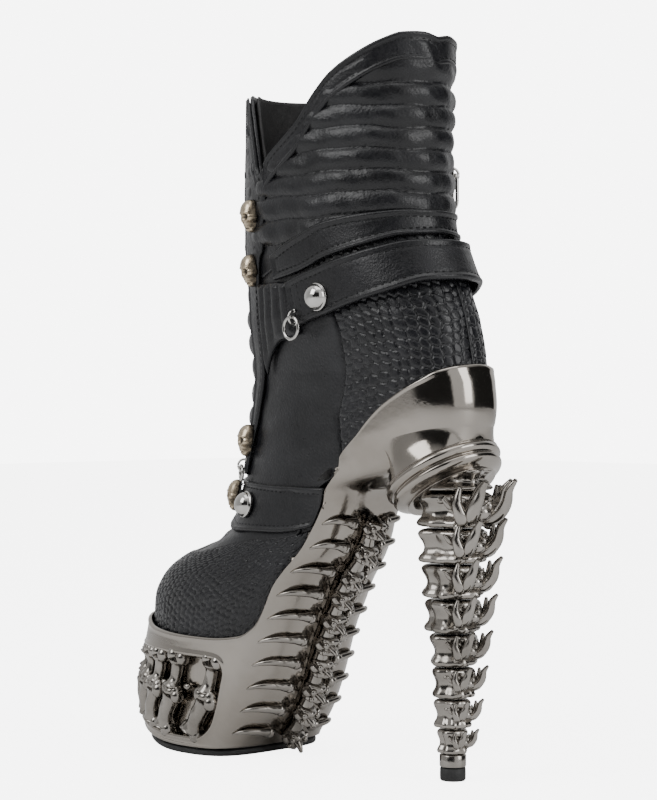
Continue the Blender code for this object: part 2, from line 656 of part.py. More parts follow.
def make_studs():
    """Dome and skull studs, on both sides alike."""
    for side, sign in (("outer", 1.0), ("inner", -1.0)):
        for place, height, angle, offset in DOMES:
            seat = frame_at(height, sign * angle, offset)
            profile = [(0.0, 5.6), (2.2, 5.3), (4.2, 4.3), (5.7, 2.8), (6.5, 0.8), (6.5, 0.0),
                       (0.0, 0.0)]
            turned("%s_dome_%s" % (place, side), profile, "steel", seat, 12)
        for number, (height, angle, offset) in enumerate(SKULLS, 1):
            bm = bmesh.new()
            bmesh.ops.create_uvsphere(bm, u_segments=10, v_segments=8, radius=1.0)
            for vert in bm.verts:
                narrow = 1.0 if vert.co.y > -0.2 else 0.72
                vert.co = Vector((vert.co.x * 6.0 * narrow, vert.co.y * 7.8, vert.co.z * 6.6)) * MM
            everything = bm.verts[:] + bm.edges[:] + bm.faces[:]
            bmesh.ops.bisect_plane(bm, geom=everything, plane_co=(0.0, 0.0, 0.0004),
                                   plane_no=(0.0, 0.0, -1.0), clear_outer=True)
            bmesh.ops.holes_fill(bm, edges=[e for e in bm.edges if e.is_boundary], sides=0)
            add_mesh("skull_stud_%d_%s" % (number, side), bm, "pewter",
                     frame_at(height, sign * angle, offset))


def make_rings():
    """Wire rings that hang in small keepers at the strap ends; each turns on its own hinge."""
    for side, sign in (("outer", 1.0), ("inner", -1.0)):
        for place, height, angle, offset, radius in RINGS:
            seat = frame_at(height, sign * angle, offset)
            keeper = [(0.0, 3.0 * math.cos(math.radians(a)), 3.0 * math.sin(math.radians(a)))
                      for a in spread(0.0, 180.0, 8)]
            tube("%s_keeper_%s" % (place, side), [(x, y, z + 0.9) for x, y, z in keeper], 0.6,
                 "steel", seat)
            hinge = frame_at(height, sign * angle, offset + RING_LIFT, upright=True)
            loop = arc(radius, 90.0, 90.0 + 360.0 * 15 / 16, 16, (0.0, -radius))
            tube("%s_ring_%s" % (place, side), loop, 0.8, "steel", hinge, cyclic=True)


def make_zip():
    for side, start, end in (("outer", ZIP_ANGLE - 2.8, ZIP_ANGLE - 0.2),
                             ("inner", ZIP_ANGLE + 0.2, ZIP_ANGLE + 2.8)):
        shell_piece("zip_chain_" + side, [start, end], ZIP_LOW, edge(TOP_EDGE, -2.0), -1.3, -0.3,
                    14, "tape")
    seat = slider_frame()
    bm = bmesh.new()
    bmesh.ops.create_cube(bm, size=1.0)
    for vert in bm.verts:
        taper = 0.62 if vert.co.y < 0.0 else 1.0
        vert.co = Vector((vert.co.x * 7.4 * taper, vert.co.y * 11.0, (vert.co.z + 0.5) * 2.6)) * MM
    slider = add_mesh("zip_slider", bm, "steel", seat)
    bridge = [(0.0, 3.4 * math.cos(math.radians(a)), 2.2 + 3.0 * math.sin(math.radians(a)))
              for a in spread(0.0, 180.0, 9)]
    boolean(slider, tube_mesh("slider_bridge", bridge, 0.7, "steel", seat, CUTTERS), "UNION")
    hinge = seat @ Matrix.Translation((0.0, 0.0, SLIDER_PIVOT * MM))
    loop = arc(3.4, 0.0, 180.0, 7, (0.0, -3.4)) + arc(3.4, 180.0, 360.0, 7, (0.0, -12.2))
    tube("zip_pull", loop, 0.9, "steel", hinge, cyclic=True)


def slider_frame():
    """Frame of the slider: its Y is the zip's straight run, which is upright."""
    return frame_at(SLIDER_Z, ZIP_ANGLE, SLIDER_OFFSET, upright=True)


def main():
    clear_scene()
    make_outsole()
    make_platform_shell()
    make_platform_filler()
    make_bone_insert()
    make_rib_spine()
    make_heel_column()
    make_heel_collar()
    make_heel_parts()
    make_footbed()
    make_upper()
    make_trim()
    make_studs()
    make_rings()
    make_zip()


main()
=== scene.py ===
import math
import random

import bpy
import numpy as np
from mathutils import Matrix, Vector


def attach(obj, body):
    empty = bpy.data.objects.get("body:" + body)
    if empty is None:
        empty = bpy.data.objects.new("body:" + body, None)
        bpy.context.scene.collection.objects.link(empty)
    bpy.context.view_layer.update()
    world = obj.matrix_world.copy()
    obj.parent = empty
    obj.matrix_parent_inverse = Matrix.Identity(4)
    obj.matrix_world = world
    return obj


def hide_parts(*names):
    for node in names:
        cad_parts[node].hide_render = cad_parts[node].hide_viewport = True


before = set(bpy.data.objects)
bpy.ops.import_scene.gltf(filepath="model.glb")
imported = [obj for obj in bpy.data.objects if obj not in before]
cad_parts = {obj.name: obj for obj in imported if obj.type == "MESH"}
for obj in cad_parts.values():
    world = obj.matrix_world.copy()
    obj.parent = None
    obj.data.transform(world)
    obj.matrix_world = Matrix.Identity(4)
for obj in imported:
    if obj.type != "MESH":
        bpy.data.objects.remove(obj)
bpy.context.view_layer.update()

MM = 0.001

# ---------------------------------------------------------------------------------------------
# The last: the surface that the upper, the sole unit and the straps follow, in millimetres.
# Each station: height, front, back, half width, y of the widest point, front and back roundness.
# ---------------------------------------------------------------------------------------------
CENTRE_Y = -2.2
STATIONS = np.array((
    (0, -100, -31, 38, -64, 2.3, 3.6),
    (4, -109, -28, 40, -63, 2.3, 3.6),
    (20, -112, -16, 41, -60, 2.3, 3.6),
    (40, -112.5, -6, 41.5, -56, 2.3, 3.4),
    (57, -110.5, 0, 41, -48, 2.3, 3.3),
    (66, -109, 4, 40.5, -42, 2.4, 3.2),
    (76, -107.5, 9, 40.5, -36, 2.5, 3.2),
    (86, -103, 14, 40, -32, 2.4, 3.3),
    (94, -95, 20, 38.5, -26, 2.3, 3.4),
    (100, -84, 25, 36.5, -20, 2.2, 3.4),
    (105, -69, 28, 35, -14, 2.1, 3.4),
    (110, -58, 30, 34, -8, 2.1, 3.4),
    (118, -50, 33.5, 32, -2, 2.1, 3.4),
    (132, -47, 43, 30.5, 4, 2.1, 3.4),
    (143, -46, 74, 30, 10, 2.1, 3.2),
    (150, -45, 85, 30, 14, 2.1, 3.0),
    (160, -44, 101, 30, 22, 2.1, 2.8),
    (164, -43.5, 104.5, 30, 25, 2.1, 2.7),
    (172, -43, 105.5, 30, 29, 2.1, 2.7),
    (183, -42, 104.5, 30.5, 34, 2.1, 2.6),
    (194, -41.5, 101, 31, 36, 2.1, 2.6),
    (205, -41, 97.5, 31.5, 36, 2.1, 2.5),
    (223, -40, 91, 32.5, 32, 2.1, 2.3),
    (240, -39.5, 83, 34, 27, 2.1, 2.2),
    (255, -39, 77.5, 35, 22, 2.1, 2.1),
    (275, -38, 75.5, 36, 20, 2.1, 2.1),
    (305, -37, 75.5, 36.5, 20, 2.1, 2.1),
    (345, -36, 76, 37, 20, 2.1, 2.1),
), dtype=float)

# Edges and seams: height against the angle round the last, 0 at the front and 180 at the back.
FEATHER = ((0, 67), (30, 65), (60, 60.5), (90, 59), (115, 61), (128, 68), (132, 80),
           (134.5, 120), (137, 160), (141, 174), (150, 185), (165, 190), (180, 192))
SHELL_TOP = ((0, 67), (30, 65), (60, 60.5), (90, 59), (115, 61), (125, 66), (128, 74), (129.5, 106),
             (130.5, 135), (131.5, 158), (133.5, 170), (137, 178), (143, 184.5), (150, 188.5),
             (165, 191), (180, 192))
VAMP_SEAM = ((0, 101), (45, 101.5), (80, 107), (120, 112), (136, 114))
SHAFT_SEAM = ((41, 229), (66, 237), (90, 245), (108, 250), (135, 254), (160, 256), (180, 257))
TOP_EDGE = ((0, 325), (30, 325), (42, 321), (50, 311), (57, 297), (63, 284), (75, 292.5),
            (90, 303), (103, 318), (112, 326.5), (128, 335.5), (142, 341), (154, 344),
            (168, 344.5), (180, 343))
BAND_TOP = ((66, 243), (90, 252.6), (108, 258.5), (135, 261.5), (160, 262.6), (180, 262.6))
BAND_LOW = ((66, 231.8), (85, 235.5), (100, 241), (125, 246), (150, 250), (180, 251.4))
STRAP_TOP = ((77, 231), (90, 235.5), (105, 239.5), (130, 244), (155, 246.5), (180, 246.5))
STRAP_LOW = ((77, 209), (90, 214), (105, 218.7), (130, 224), (155, 227.7), (180, 228))
INSTEP_TOP = ((0, 137), (40, 136), (90, 134), (131, 133))
INSTEP_LOW = ((0, 116.5), (30, 116.2), (42, 114), (60, 112), (90, 112), (131, 115))
GATHER_TOP = ((52, 231), (66, 231.5), (78, 231))
GATHER_LOW = ((52, 184), (57, 194), (66, 203), (77, 206))
PLACKET_LOW = ((36, 138), (44, 138), (47, 163), (53.5, 224), (62, 250), (69, 272))
# Upright edges: angle against height. SHELL_SWEEP is how far the cup's front edge swings forward.
SHELL_SWEEP = ((112, 0), (124, -1), (132, -8), (140, -20), (150, -26), (160, -26), (170, -24),
               (178, -19), (184, -12), (190, -5), (194, 0))
COUNTER_EDGE = ((136, 114), (140, 112), (149, 105), (160, 97.5), (172, 94.5), (200, 94.5), (258, 95))
QUARTER_REAR = ((130, 131), (138, 126), (149, 116), (160, 106), (172, 102), (200, 101.5), (252, 101))
# The foot's bed inside: y against height.
FOOTBED = ((62, -26), (68, -16), (78, -5), (90, 4), (105, 15), (120, 22.5), (135, 31), (150, 43),
           (164, 57), (175, 72), (181, 84))

QUILT_SEAMS = (321.5, 311.5, 301.5, 291.5, 281.5, 271.5, 260.5, 249.0)
QUILT_TOP = 352.0
QUILT_SWELL = 2.3
RIB_PITCH = 11.9
RIB_START = 161.0
RIB_END = 290.0
RIB_SWELL = 2.2
ZIP_ANGLE = 228.0
TUCK = 2.8
SEAM_DIP = 2.1
BED_INSET = 8.4
PADDING_WALL = 1.6
FULL_TURN = 2 * math.pi
MIRRORED = np.array((-1.0, 1.0, 1.0))


def smooth_curve(points, value):
    """Monotone cubic through points, level past both ends, for a number or an array."""
    points = np.asarray(points, dtype=float)
    xs, ys = points[:, 0], points[:, 1]
    rises = np.diff(ys) / np.diff(xs)
    slopes = np.empty(len(xs))
    slopes[0], slopes[-1] = rises[0], rises[-1]
    before, after = rises[:-1], rises[1:]
    both = before * after
    with np.errstate(divide="ignore", invalid="ignore"):
        mean = 2.0 * both / (before + after)
    slopes[1:-1] = np.where(both > 0.0, mean, 0.0)
    value = np.clip(np.asarray(value, dtype=float), xs[0], xs[-1])
    index = np.clip(np.searchsorted(xs, value, side="right") - 1, 0, len(xs) - 2)
    width = xs[index + 1] - xs[index]
    t = (value - xs[index]) / width
    return ((2 * t**3 - 3 * t**2 + 1) * ys[index] + (t**3 - 2 * t**2 + t) * width * slopes[index]
            + (3 * t**2 - 2 * t**3) * ys[index + 1] + (t**3 - t**2) * width * slopes[index + 1])


def fold(angle):
    """The angle of the same place on the outer side, 0 to 180 degrees."""
    angle = np.abs(angle) % 360.0
    return np.where(angle > 180.0, 360.0 - angle, angle)


def edge(points, lift=0.0):
    """The height of an edge at an angle, moved up by lift."""
    return lambda angle: smooth_curve(points, fold(angle)) + lift


def skin_depth(height):
    """Offset of the leather from the last: tucked in at the foot, flush above the cup."""
    return -TUCK * (1.0 - smooth_curve(((188, 0.0), (214, 1.0)), height))


def last_point(height, angle, offset=0.0):
    """Points of the last surface, in millimetres, moved out level by offset."""
    height, angle = np.broadcast_arrays(np.asarray(height, float), np.asarray(angle, float))
    columns = [smooth_curve(STATIONS[:, (0, k)], height) for k in range(1, 7)]
    front, back, half, widest, power_front, power_back = columns
    sine = np.sin(np.radians(angle))
    cosine = np.cos(np.radians(angle))
    power = 2.0 / np.where(cosine > 0.0, power_front, power_back)
    reach = np.where(cosine > 0.0, widest - front, back - widest) + offset
    x = (half + offset) * np.sign(sine) * np.abs(sine) ** power
    y = widest - reach * np.sign(cosine) * np.abs(cosine) ** power
    return np.stack([x, y + CENTRE_Y, height], axis=-1)


TOE_SPRING = 11.0
SOLE_TOP = 59.0


def sprung(points):
    """Curls sole points up towards the toe, fading out at the platform's top."""
    t = np.clip((-60.0 - points[..., 1]) / 52.0, 0.0, 1.0)
    fade = np.clip(1.0 - points[..., 2] / SOLE_TOP, 0.0, 1.0)
    lifted = points.copy()
    lifted[..., 2] += TOE_SPRING * t * t * fade
    return lifted


def smoothstep(low, high, value):
    """0 below low, 1 above high, and an easy ramp between."""
    t = np.clip((np.asarray(value, float) - low) / (high - low), 0.0, 1.0)
    return t * t * (3.0 - 2.0 * t)


def unit(vectors):
    return vectors / np.maximum(np.linalg.norm(vectors, axis=-1, keepdims=True), 1e-9)


def walked_along(places):
    """Distance walked along a line of points, at each point."""
    steps = np.linalg.norm(np.diff(places, axis=0), axis=-1)
    return np.concatenate([[0], np.cumsum(steps)])


def grid_normals(points, closed=False):
    """Outward unit normals of a grid of points laid out as [round, up]."""
    if closed:
        around = np.roll(points, -1, axis=0) - np.roll(points, 1, axis=0)
    else:
        around = np.gradient(points, axis=0)
    up = np.gradient(points, axis=1)
    return unit(np.cross(around, up))


def surface(height, angle, offset=0.0, base=last_point):
    """Points and outward normals of the last at any heights and angles."""
    height, angle = np.broadcast_arrays(np.asarray(height, float), np.asarray(angle, float))
    here = base(height, angle)
    around = base(height, angle + 0.4) - base(height, angle - 0.4)
    up = base(height + 0.4, angle) - base(height - 0.4, angle)
    normal = unit(np.cross(around, up))
    return here + normal * np.asarray(offset)[..., None], normal


# ---------------------------------------------------------------------------------------------
# Mesh helpers
# ---------------------------------------------------------------------------------------------
def new_object(name, vertices, faces, material, smooth=True, layer=None):
    """Object from points in millimetres; layer maps names of point attributes to their values."""
    mesh = bpy.data.meshes.new(name)
    mesh.from_pydata((np.asarray(vertices, float) * MM).tolist(), [], faces)
    mesh.update()
    if layer is not None:
        for title, values in layer.items():
            field = mesh.attributes.new(title, "FLOAT", "POINT")
            field.data.foreach_set("value", np.asarray(values, np.float32))
    made = bpy.data.objects.new(name, mesh)
    bpy.context.scene.collection.objects.link(made)
    mesh.materials.append(material)
    if smooth:
        mesh.shade_smooth()
    return made


def grid_faces(rows, columns, start=0, closed=False, flip=False):
    """Quads of a [rows, columns] grid of vertex numbers."""
    index = np.arange(rows * columns).reshape(rows, columns) + start
    if closed:
        index = np.vstack([index, index[:1]])
    a, b = index[:-1, :-1], index[1:, :-1]
    c, d = index[1:, 1:], index[:-1, 1:]
    quads = np.stack([a, b, c, d], axis=-1).reshape(-1, 4)
    if flip:
        quads = quads[:, ::-1]
    return quads.tolist()


def rim_walls(rows, columns):
    """Quads round the rim of a grid, from each rim point to its twin on a second, equal grid."""
    shift = rows * columns
    index = np.arange(shift).reshape(rows, columns)
    ring = np.concatenate([index[:, 0], index[-1, 1:], index[-2::-1, -1], index[0, -2::-1]])
    ends = ring[1:]
    return np.stack([ring[:-1], ring[:-1] + shift, ends + shift, ends], axis=-1).tolist()


def slab_faces(rows, columns):
    """Faces of a plate: an outer grid, an equal inner grid behind it, and the walls between."""
    return (grid_faces(rows, columns) + grid_faces(rows, columns, rows * columns, flip=True)
            + rim_walls(rows, columns))


def tube_faces(rows, columns):
    """As slab_faces, for a grid that closes on itself: its low and high edges are walled."""
    shift = rows * columns
    faces = grid_faces(rows, columns, 0, True) + grid_faces(rows, columns, shift, True, flip=True)
    index = np.arange(shift).reshape(rows, columns)
    for column, way in ((0, 1), (-1, -1)):
        start = index[:, column]
        end = np.roll(start, -1)
        walls = np.stack([start, start + shift, end + shift, end], axis=-1)
        faces += walls[:, ::way].tolist()
    return faces


class Builder:
    """Collects several shapes into one mesh."""

    def __init__(self):
        self.vertices = []
        self.faces = []
        self.count = 0

    def add(self, vertices, faces):
        vertices = np.asarray(vertices, float).reshape(-1, 3)
        self.vertices.append(vertices)
        self.faces.extend([[i + self.count for i in face] for face in faces])
        self.count += len(vertices)

    def make(self, name, material):
        return new_object(name, np.concatenate(self.vertices), self.faces, material)


def ring_faces(count, sides, closed=False):
    """Quads between rings of points that close on themselves, facing out."""
    faces = []
    for i in range(count if closed else count - 1):
        near, far = i * sides, (i + 1) % count * sides
        for j in range(sides):
            k = (j + 1) % sides
            faces.append([near + k, far + k, far + j, near + j])
    return faces


def fan_faces(tip, ring, sides, last=False):
    """Triangles from a tip to one ring; last turns them to face the other way."""
    start = ring * sides
    way = -1 if last else 1
    return [[tip, *(start + j, start + (j + 1) % sides)[::way]] for j in range(sides)]


def smooth_path(points, count):
    """Catmull-Rom curve through a few points, evenly stepped in parameter."""
    points = np.asarray(points, float)
    padded = np.vstack([2 * points[0] - points[1], points, 2 * points[-1] - points[-2]])
    places = np.linspace(0, len(points) - 1 - 1e-9, count)
    index = places.astype(int)
    t = (places - index)[:, None]
    p0, p1, p2, p3 = (padded[index + k] for k in range(4))
    return 0.5 * (2 * p1 + (p2 - p0) * t + (2 * p0 - 5 * p1 + 4 * p2 - p3) * t**2
                  + (3 * p1 - p0 - 3 * p2 + p3) * t**3)


def sweep(builder, path, radii, normals=None, flat=1.0, sides=12, closed=False):
    """A round or flattened tube along a path with a radius at each point, with domed ends.

    flat is the height over the width; normals, if given, is the direction of its height.
    """
    path = np.asarray(path, float)
    count = len(path)
    radii = np.broadcast_to(np.asarray(radii, float), (count,))
    if closed:
        along = unit(np.roll(path, -1, axis=0) - np.roll(path, 1, axis=0))
    else:
        along = unit(np.gradient(path, axis=0))
    if normals is None:
        guess = np.array((0.0, 0.0, 1.0))
        if abs(along[0] @ guess) > 0.9:
            guess = np.array((1.0, 0.0, 0.0))
        normals = np.broadcast_to(guess, path.shape)
    across = unit(np.cross(along, normals))
    up = np.cross(across, along)
    turn = np.linspace(0, FULL_TURN, sides, endpoint=False)
    circle = (across[:, None, :] * np.cos(turn)[None, :, None]
              + up[:, None, :] * (np.sin(turn) * flat)[None, :, None])
    rings = path[:, None, :] + circle * radii[:, None, None]
    faces = ring_faces(count, sides, closed)
    points = rings.reshape(-1, 3)
    if not closed:
        tips = (path[0] - along[0] * radii[0] * 0.5, path[-1] + along[-1] * radii[-1] * 0.5)
        faces += fan_faces(len(points), 0, sides) + fan_faces(len(points) + 1, count - 1, sides, True)
        points = np.vstack([points, tips])
    builder.add(points, faces)


def blob(builder, centre, radii, axes=None, detail=10):
    """Ellipsoid with its own axes, for knobs and joints."""
    polar = np.linspace(0, math.pi, detail)
    turn = np.linspace(0, FULL_TURN, 2 * detail, endpoint=False)
    a, b = np.meshgrid(polar[1:-1], turn, indexing="ij")
    local = np.stack([np.sin(a) * np.cos(b), np.sin(a) * np.sin(b), np.cos(a)], axis=-1)
    local = local.reshape(-1, 3)
    local = np.vstack([local, (0, 0, 1), (0, 0, -1)]) * np.asarray(radii, float)
    if axes is not None:
        local = local @ np.asarray(axes, float)
    rows, columns = detail - 2, 2 * detail
    faces = [face[::-1] for face in ring_faces(rows, columns)]
    faces += fan_faces(rows * columns, 0, columns)
    faces += fan_faces(rows * columns + 1, rows - 1, columns, True)
    builder.add(local + np.asarray(centre, float), faces)


def lathe(builder, profile, centre=(0, 0, 0), axes=np.eye(3), steps=48, shape=None):
    """Turned shape from (radius, height) points listed from the top down; ends may be open."""
    profile = np.asarray(profile, float)
    turn = np.linspace(0, FULL_TURN, steps, endpoint=False)
    radius = profile[:, 0][:, None] * np.ones(steps)
    if shape is not None:
        radius = radius * shape(turn[None, :], profile[:, 1][:, None])
    local = np.stack([radius * np.cos(turn), radius * np.sin(turn),
                      profile[:, 1][:, None] * np.ones(steps)], axis=-1)
    points = local.reshape(-1, 3) @ np.asarray(axes, float) + np.asarray(centre, float)
    builder.add(points, [face[::-1] for face in ring_faces(len(profile), steps)])


def measure(points):
    """Distances along a grid: U round it from its middle column, V up from its lowest row."""
    around = np.linalg.norm(np.diff(points, axis=0), axis=-1)
    up = np.linalg.norm(np.diff(points, axis=1), axis=-1)
    u = np.concatenate([np.zeros((1, points.shape[1])), np.cumsum(around, axis=0)])
    v = np.concatenate([np.zeros((points.shape[0], 1)), np.cumsum(up, axis=1)], axis=1)
    return u, v


def even_angles(start, end, line, spacing):
    """Angles from start to end, evenly spaced along the curve height = line(angle)."""
    probe = np.linspace(start, end, 1441)
    places = last_point(line(probe), probe)
    walked = walked_along(places)
    count = max(int(walked[-1] / spacing) + 2, 3)
    return np.interp(np.linspace(0, walked[-1], count), walked, probe)


def upright_grid(start, end, low, high, spacing=1.2, along=None):
    """Heights and angles of a piece whose columns are upright, evenly spaced up each column."""
    if along is None:
        def along(angle):
            return 0.5 * (low(angle) + high(angle))
    angles = even_angles(start, end, along, spacing)
    bottom, top = low(angles), high(angles)
    share = np.linspace(0, 1, 161)
    probe = bottom[:, None] + (top - bottom)[:, None] * share
    places = last_point(probe, np.broadcast_to(angles[:, None], probe.shape))
    steps = np.linalg.norm(np.diff(places, axis=1), axis=-1)
    walked = np.concatenate([np.zeros((len(angles), 1)), np.cumsum(steps, axis=1)], axis=1)
    rows = max(int(walked[:, -1].max() / spacing) + 2, 3)
    height = np.empty((len(angles), rows))
    for i in range(len(angles)):
        height[i] = np.interp(np.linspace(0, walked[i, -1], rows), walked[i], probe[i])
    return height, np.broadcast_to(angles[:, None], height.shape)


def level_grid(low, high, start, end, spacing=1.2):
    """Heights and angles of a piece whose rows are level, between two edges start and end."""
    heights = np.linspace(low, high, max(int((high - low) / spacing) + 2, 3))
    first, last = start(heights), end(heights)
    widest = np.radians(np.max(last - first)) * 42.0
    share = np.linspace(0, 1, max(int(widest / spacing) + 2, 3))
    angle = first[None, :] + (last - first)[None, :] * share[:, None]
    return np.broadcast_to(heights[None, :], angle.shape), angle


def sheet_piece(name, grid, material, offset=0.0, thickness=1.4, relief=None, base=last_point,
                closed=False, round_edge=1.0, mirror=False, depth=skin_depth):
    """A piece that follows the last: a dense, thick grid with rolled edges.

    grid is (heights, angles). offset is a number or a function of (height, angle).
    relief(u, v, height, angle, rim) returns how far the outer face stands proud, where u and v
    are millimetres round and up the piece and rim is the distance to its nearest edge.
    """
    height, angle = grid
    if closed:
        height, angle = height[:-1], angle[:-1]
    out = offset(height, angle) if callable(offset) else offset
    points = base(height, angle)
    normal = grid_normals(points, closed)
    u, v = measure(points)
    up_slope = np.gradient(points[:, :, 2], axis=0) / np.maximum(
        np.linalg.norm(np.gradient(points, axis=0), axis=-1), 1e-6)
    lean = np.sqrt(np.clip(1.0 - up_slope**2, 0.02, 1.0))
    rim = np.minimum(v, v[:, -1:] - v) * lean
    if not closed:
        rim = np.minimum(rim, np.minimum(u, u[-1:, :] - u))
    proud = np.zeros_like(height)
    if relief is not None:
        proud = relief(u, v, height, angle, rim)
    rolled = np.clip(1.0 - rim / round_edge, 0.0, 1.0)
    sink = thickness * 0.5 * (1.0 - np.sqrt(np.maximum(1.0 - rolled**2, 0.0)))
    level = depth(height) + out
    outer = points + normal * (level + proud - sink)[..., None]
    inner = points + normal * (level - thickness + np.minimum(proud, 0.0))[..., None]
    if mirror:
        outer[..., 0] *= -1.0
        inner[..., 0] *= -1.0
    faces = tube_faces(*height.shape) if closed else slab_faces(*height.shape)
    if mirror:
        faces = [face[::-1] for face in faces]
    vertices = np.concatenate([outer.reshape(-1, 3), inner.reshape(-1, 3)])
    layers = {"round_mm": np.concatenate([u.ravel(), u.ravel()]),
              "up_mm": np.concatenate([v.ravel(), v.ravel()]),
              "rim_mm": np.concatenate([rim.ravel(), np.zeros(rim.size)])}
    return new_object(name, vertices, faces, material, layer=layers)


# ---------------------------------------------------------------------------------------------
# Reliefs
# ---------------------------------------------------------------------------------------------
def cells(u, v, wide, tall, seed, jitter=0.26):
    """Distances to the nearest and second nearest of a jittered, staggered lattice of points."""
    column = np.floor(u / wide).astype(int)
    nearest = np.full(u.shape, 1e9)
    second = np.full(u.shape, 1e9)
    for di in (-2, -1, 0, 1, 2):
        for dj in (-2, -1, 0, 1, 2):
            i = column + di
            stagger = 0.5 * (i % 2)
            j = np.floor(v / tall - stagger).astype(int) + dj
            shuffle = np.sin(i * 127.1 + j * 311.7 + seed * 74.7) * 43758.5453
            other = np.sin(i * 269.5 + j * 183.3 + seed * 19.3) * 24634.6345
            du = (shuffle - np.floor(shuffle) - 0.5) * jitter
            dv = (other - np.floor(other) - 0.5) * jitter
            x = u - (i + 0.5 + du) * wide
            y = (v - (j + 0.5 + stagger + dv) * tall) * wide / tall
            distance = np.hypot(x, y)
            second = np.minimum(second, np.maximum(nearest, distance))
            nearest = np.minimum(nearest, distance)
    return nearest, second


def waves(u, v, seed):
    """Smooth, slow unevenness of hand-lasted leather, between about -1 and 1."""
    total = np.zeros_like(u)
    dice = random.Random(seed)
    for _ in range(6):
        turn = dice.uniform(0, FULL_TURN)
        length = dice.uniform(14.0, 46.0)
        phase = dice.uniform(0, FULL_TURN)
        total += np.sin((u * math.cos(turn) + v * math.sin(turn)) * FULL_TURN / length + phase)
    return total / 6.0


def scale_relief(wide, tall, seed, deep=0.55):
    """Reptile scales: domed cells of uneven size with grooves between them."""
    def relief(u, v, height, angle, rim):
        bend = 1.6 * waves(u, v, seed)
        nearest, second = cells(u + bend, v + bend, wide, tall, seed)
        border = (second - nearest) / wide
        flat = smoothstep(0.02, 0.2, border)
        dome = 0.25 * (1.0 - np.clip(nearest / wide, 0, 1) ** 2)
        return deep * (flat - 1.0) + deep * dome * flat + 0.25 * waves(u, v, seed + 3)
    return relief


def quilt_relief(u, v, height, angle, rim):
    """Stuffed channels between level seams, puckered along every seam."""
    proud = np.zeros_like(height)
    edges = (QUILT_TOP,) + QUILT_SEAMS
    drift = 0.5 * np.sin(u * 0.11 + 1.0) + 0.3 * np.sin(u * 0.23)
    level = height + drift
    for top, low in zip(edges, edges[1:]):
        tall = min(top - low, 20.0)
        t = np.clip((level - low) / tall, 0.0, 1.0)
        inside = (level > low) & (level <= top)
        puff = np.clip(4.0 * t * (1.0 - t), 0.0, 1.0) ** 0.55
        if top > 340.0:
            puff = smoothstep(0.0, 0.35, t)
        near = np.minimum(t, 1.0 - t) * tall
        pucker = np.sin(u * 2.1 + 3.0 * np.sin(u * 0.37 + low)) * np.exp(-near / 1.9)
        swell = 1.0 + 0.22 * np.sin(u * 0.17 + low) + 0.10 * np.sin(u * 0.45 + 2.0 * low)
        proud = np.where(inside, QUILT_SWELL * puff * swell + 0.16 * pucker, proud)
    settle = smoothstep(0.0, 5.0, rim)
    return proud * settle + 0.25 * waves(u, v, 5)


def rib_relief(u, v, height, angle, rim):
    """Level padded ribs up the shin."""
    place = (height - RIB_START) / RIB_PITCH
    t = place - np.floor(place)
    puff = np.clip(4.0 * t * (1.0 - t), 0.0, 1.0) ** 0.6
    inside = smoothstep(RIB_START - 1.0, RIB_START + 3.0, height)
    inside = inside * (1.0 - smoothstep(RIB_END - 3.0, RIB_END + 1.0, height))
    swell = 1.0 + 0.18 * np.sin(u * 0.19 + np.floor(place) * 1.7)
    pucker = 0.12 * np.sin(u * 2.3 + np.floor(place)) * (1.0 - puff)
    creases = 0.35 * np.sin(height * 0.9 + 0.05 * u) * smoothstep(101, 108, height)
    creases = creases * (1.0 - smoothstep(128, 150, height))
    return inside * (RIB_SWELL * puff * swell + pucker) * smoothstep(0.0, 5.0, rim) + creases


def strap_relief(bead=0.55, groove=2.6, seed=1):
    """A strap with a raised, turned edge and a pressed line where it is stitched."""
    def relief(u, v, height, angle, rim):
        raised = bead * (1.0 - smoothstep(groove - 1.2, groove, rim))
        line = -0.3 * np.exp(-((rim - groove - 0.6) / 0.45) ** 2)
        return raised + line + 0.22 * waves(u, v, seed)
    return relief


def plain_relief(seed, amount=0.45):
    """Smooth leather: slow unevenness, and small pulls along its edges."""
    def relief(u, v, height, angle, rim):
        pulled = 0.18 * np.sin(u * 0.8 + 0.25 * v + seed) * np.exp(-rim / 5.0)
        return amount * waves(u, v, seed) + pulled
    return relief


def pleat_relief(u, v, height, angle, rim):
    """Upright gathers that open out downwards."""
    span = np.maximum(u[-1:, :], 1.0)
    place = u / span * 4.0 + 0.15 * np.sin(v * 0.12)
    t = place - np.floor(place)
    fold_over = np.clip(4.0 * t * (1.0 - t), 0.0, 1.0) ** 0.7
    return 1.5 * fold_over * smoothstep(0.0, 3.0, rim) + 0.2 * waves(u, v, 8)


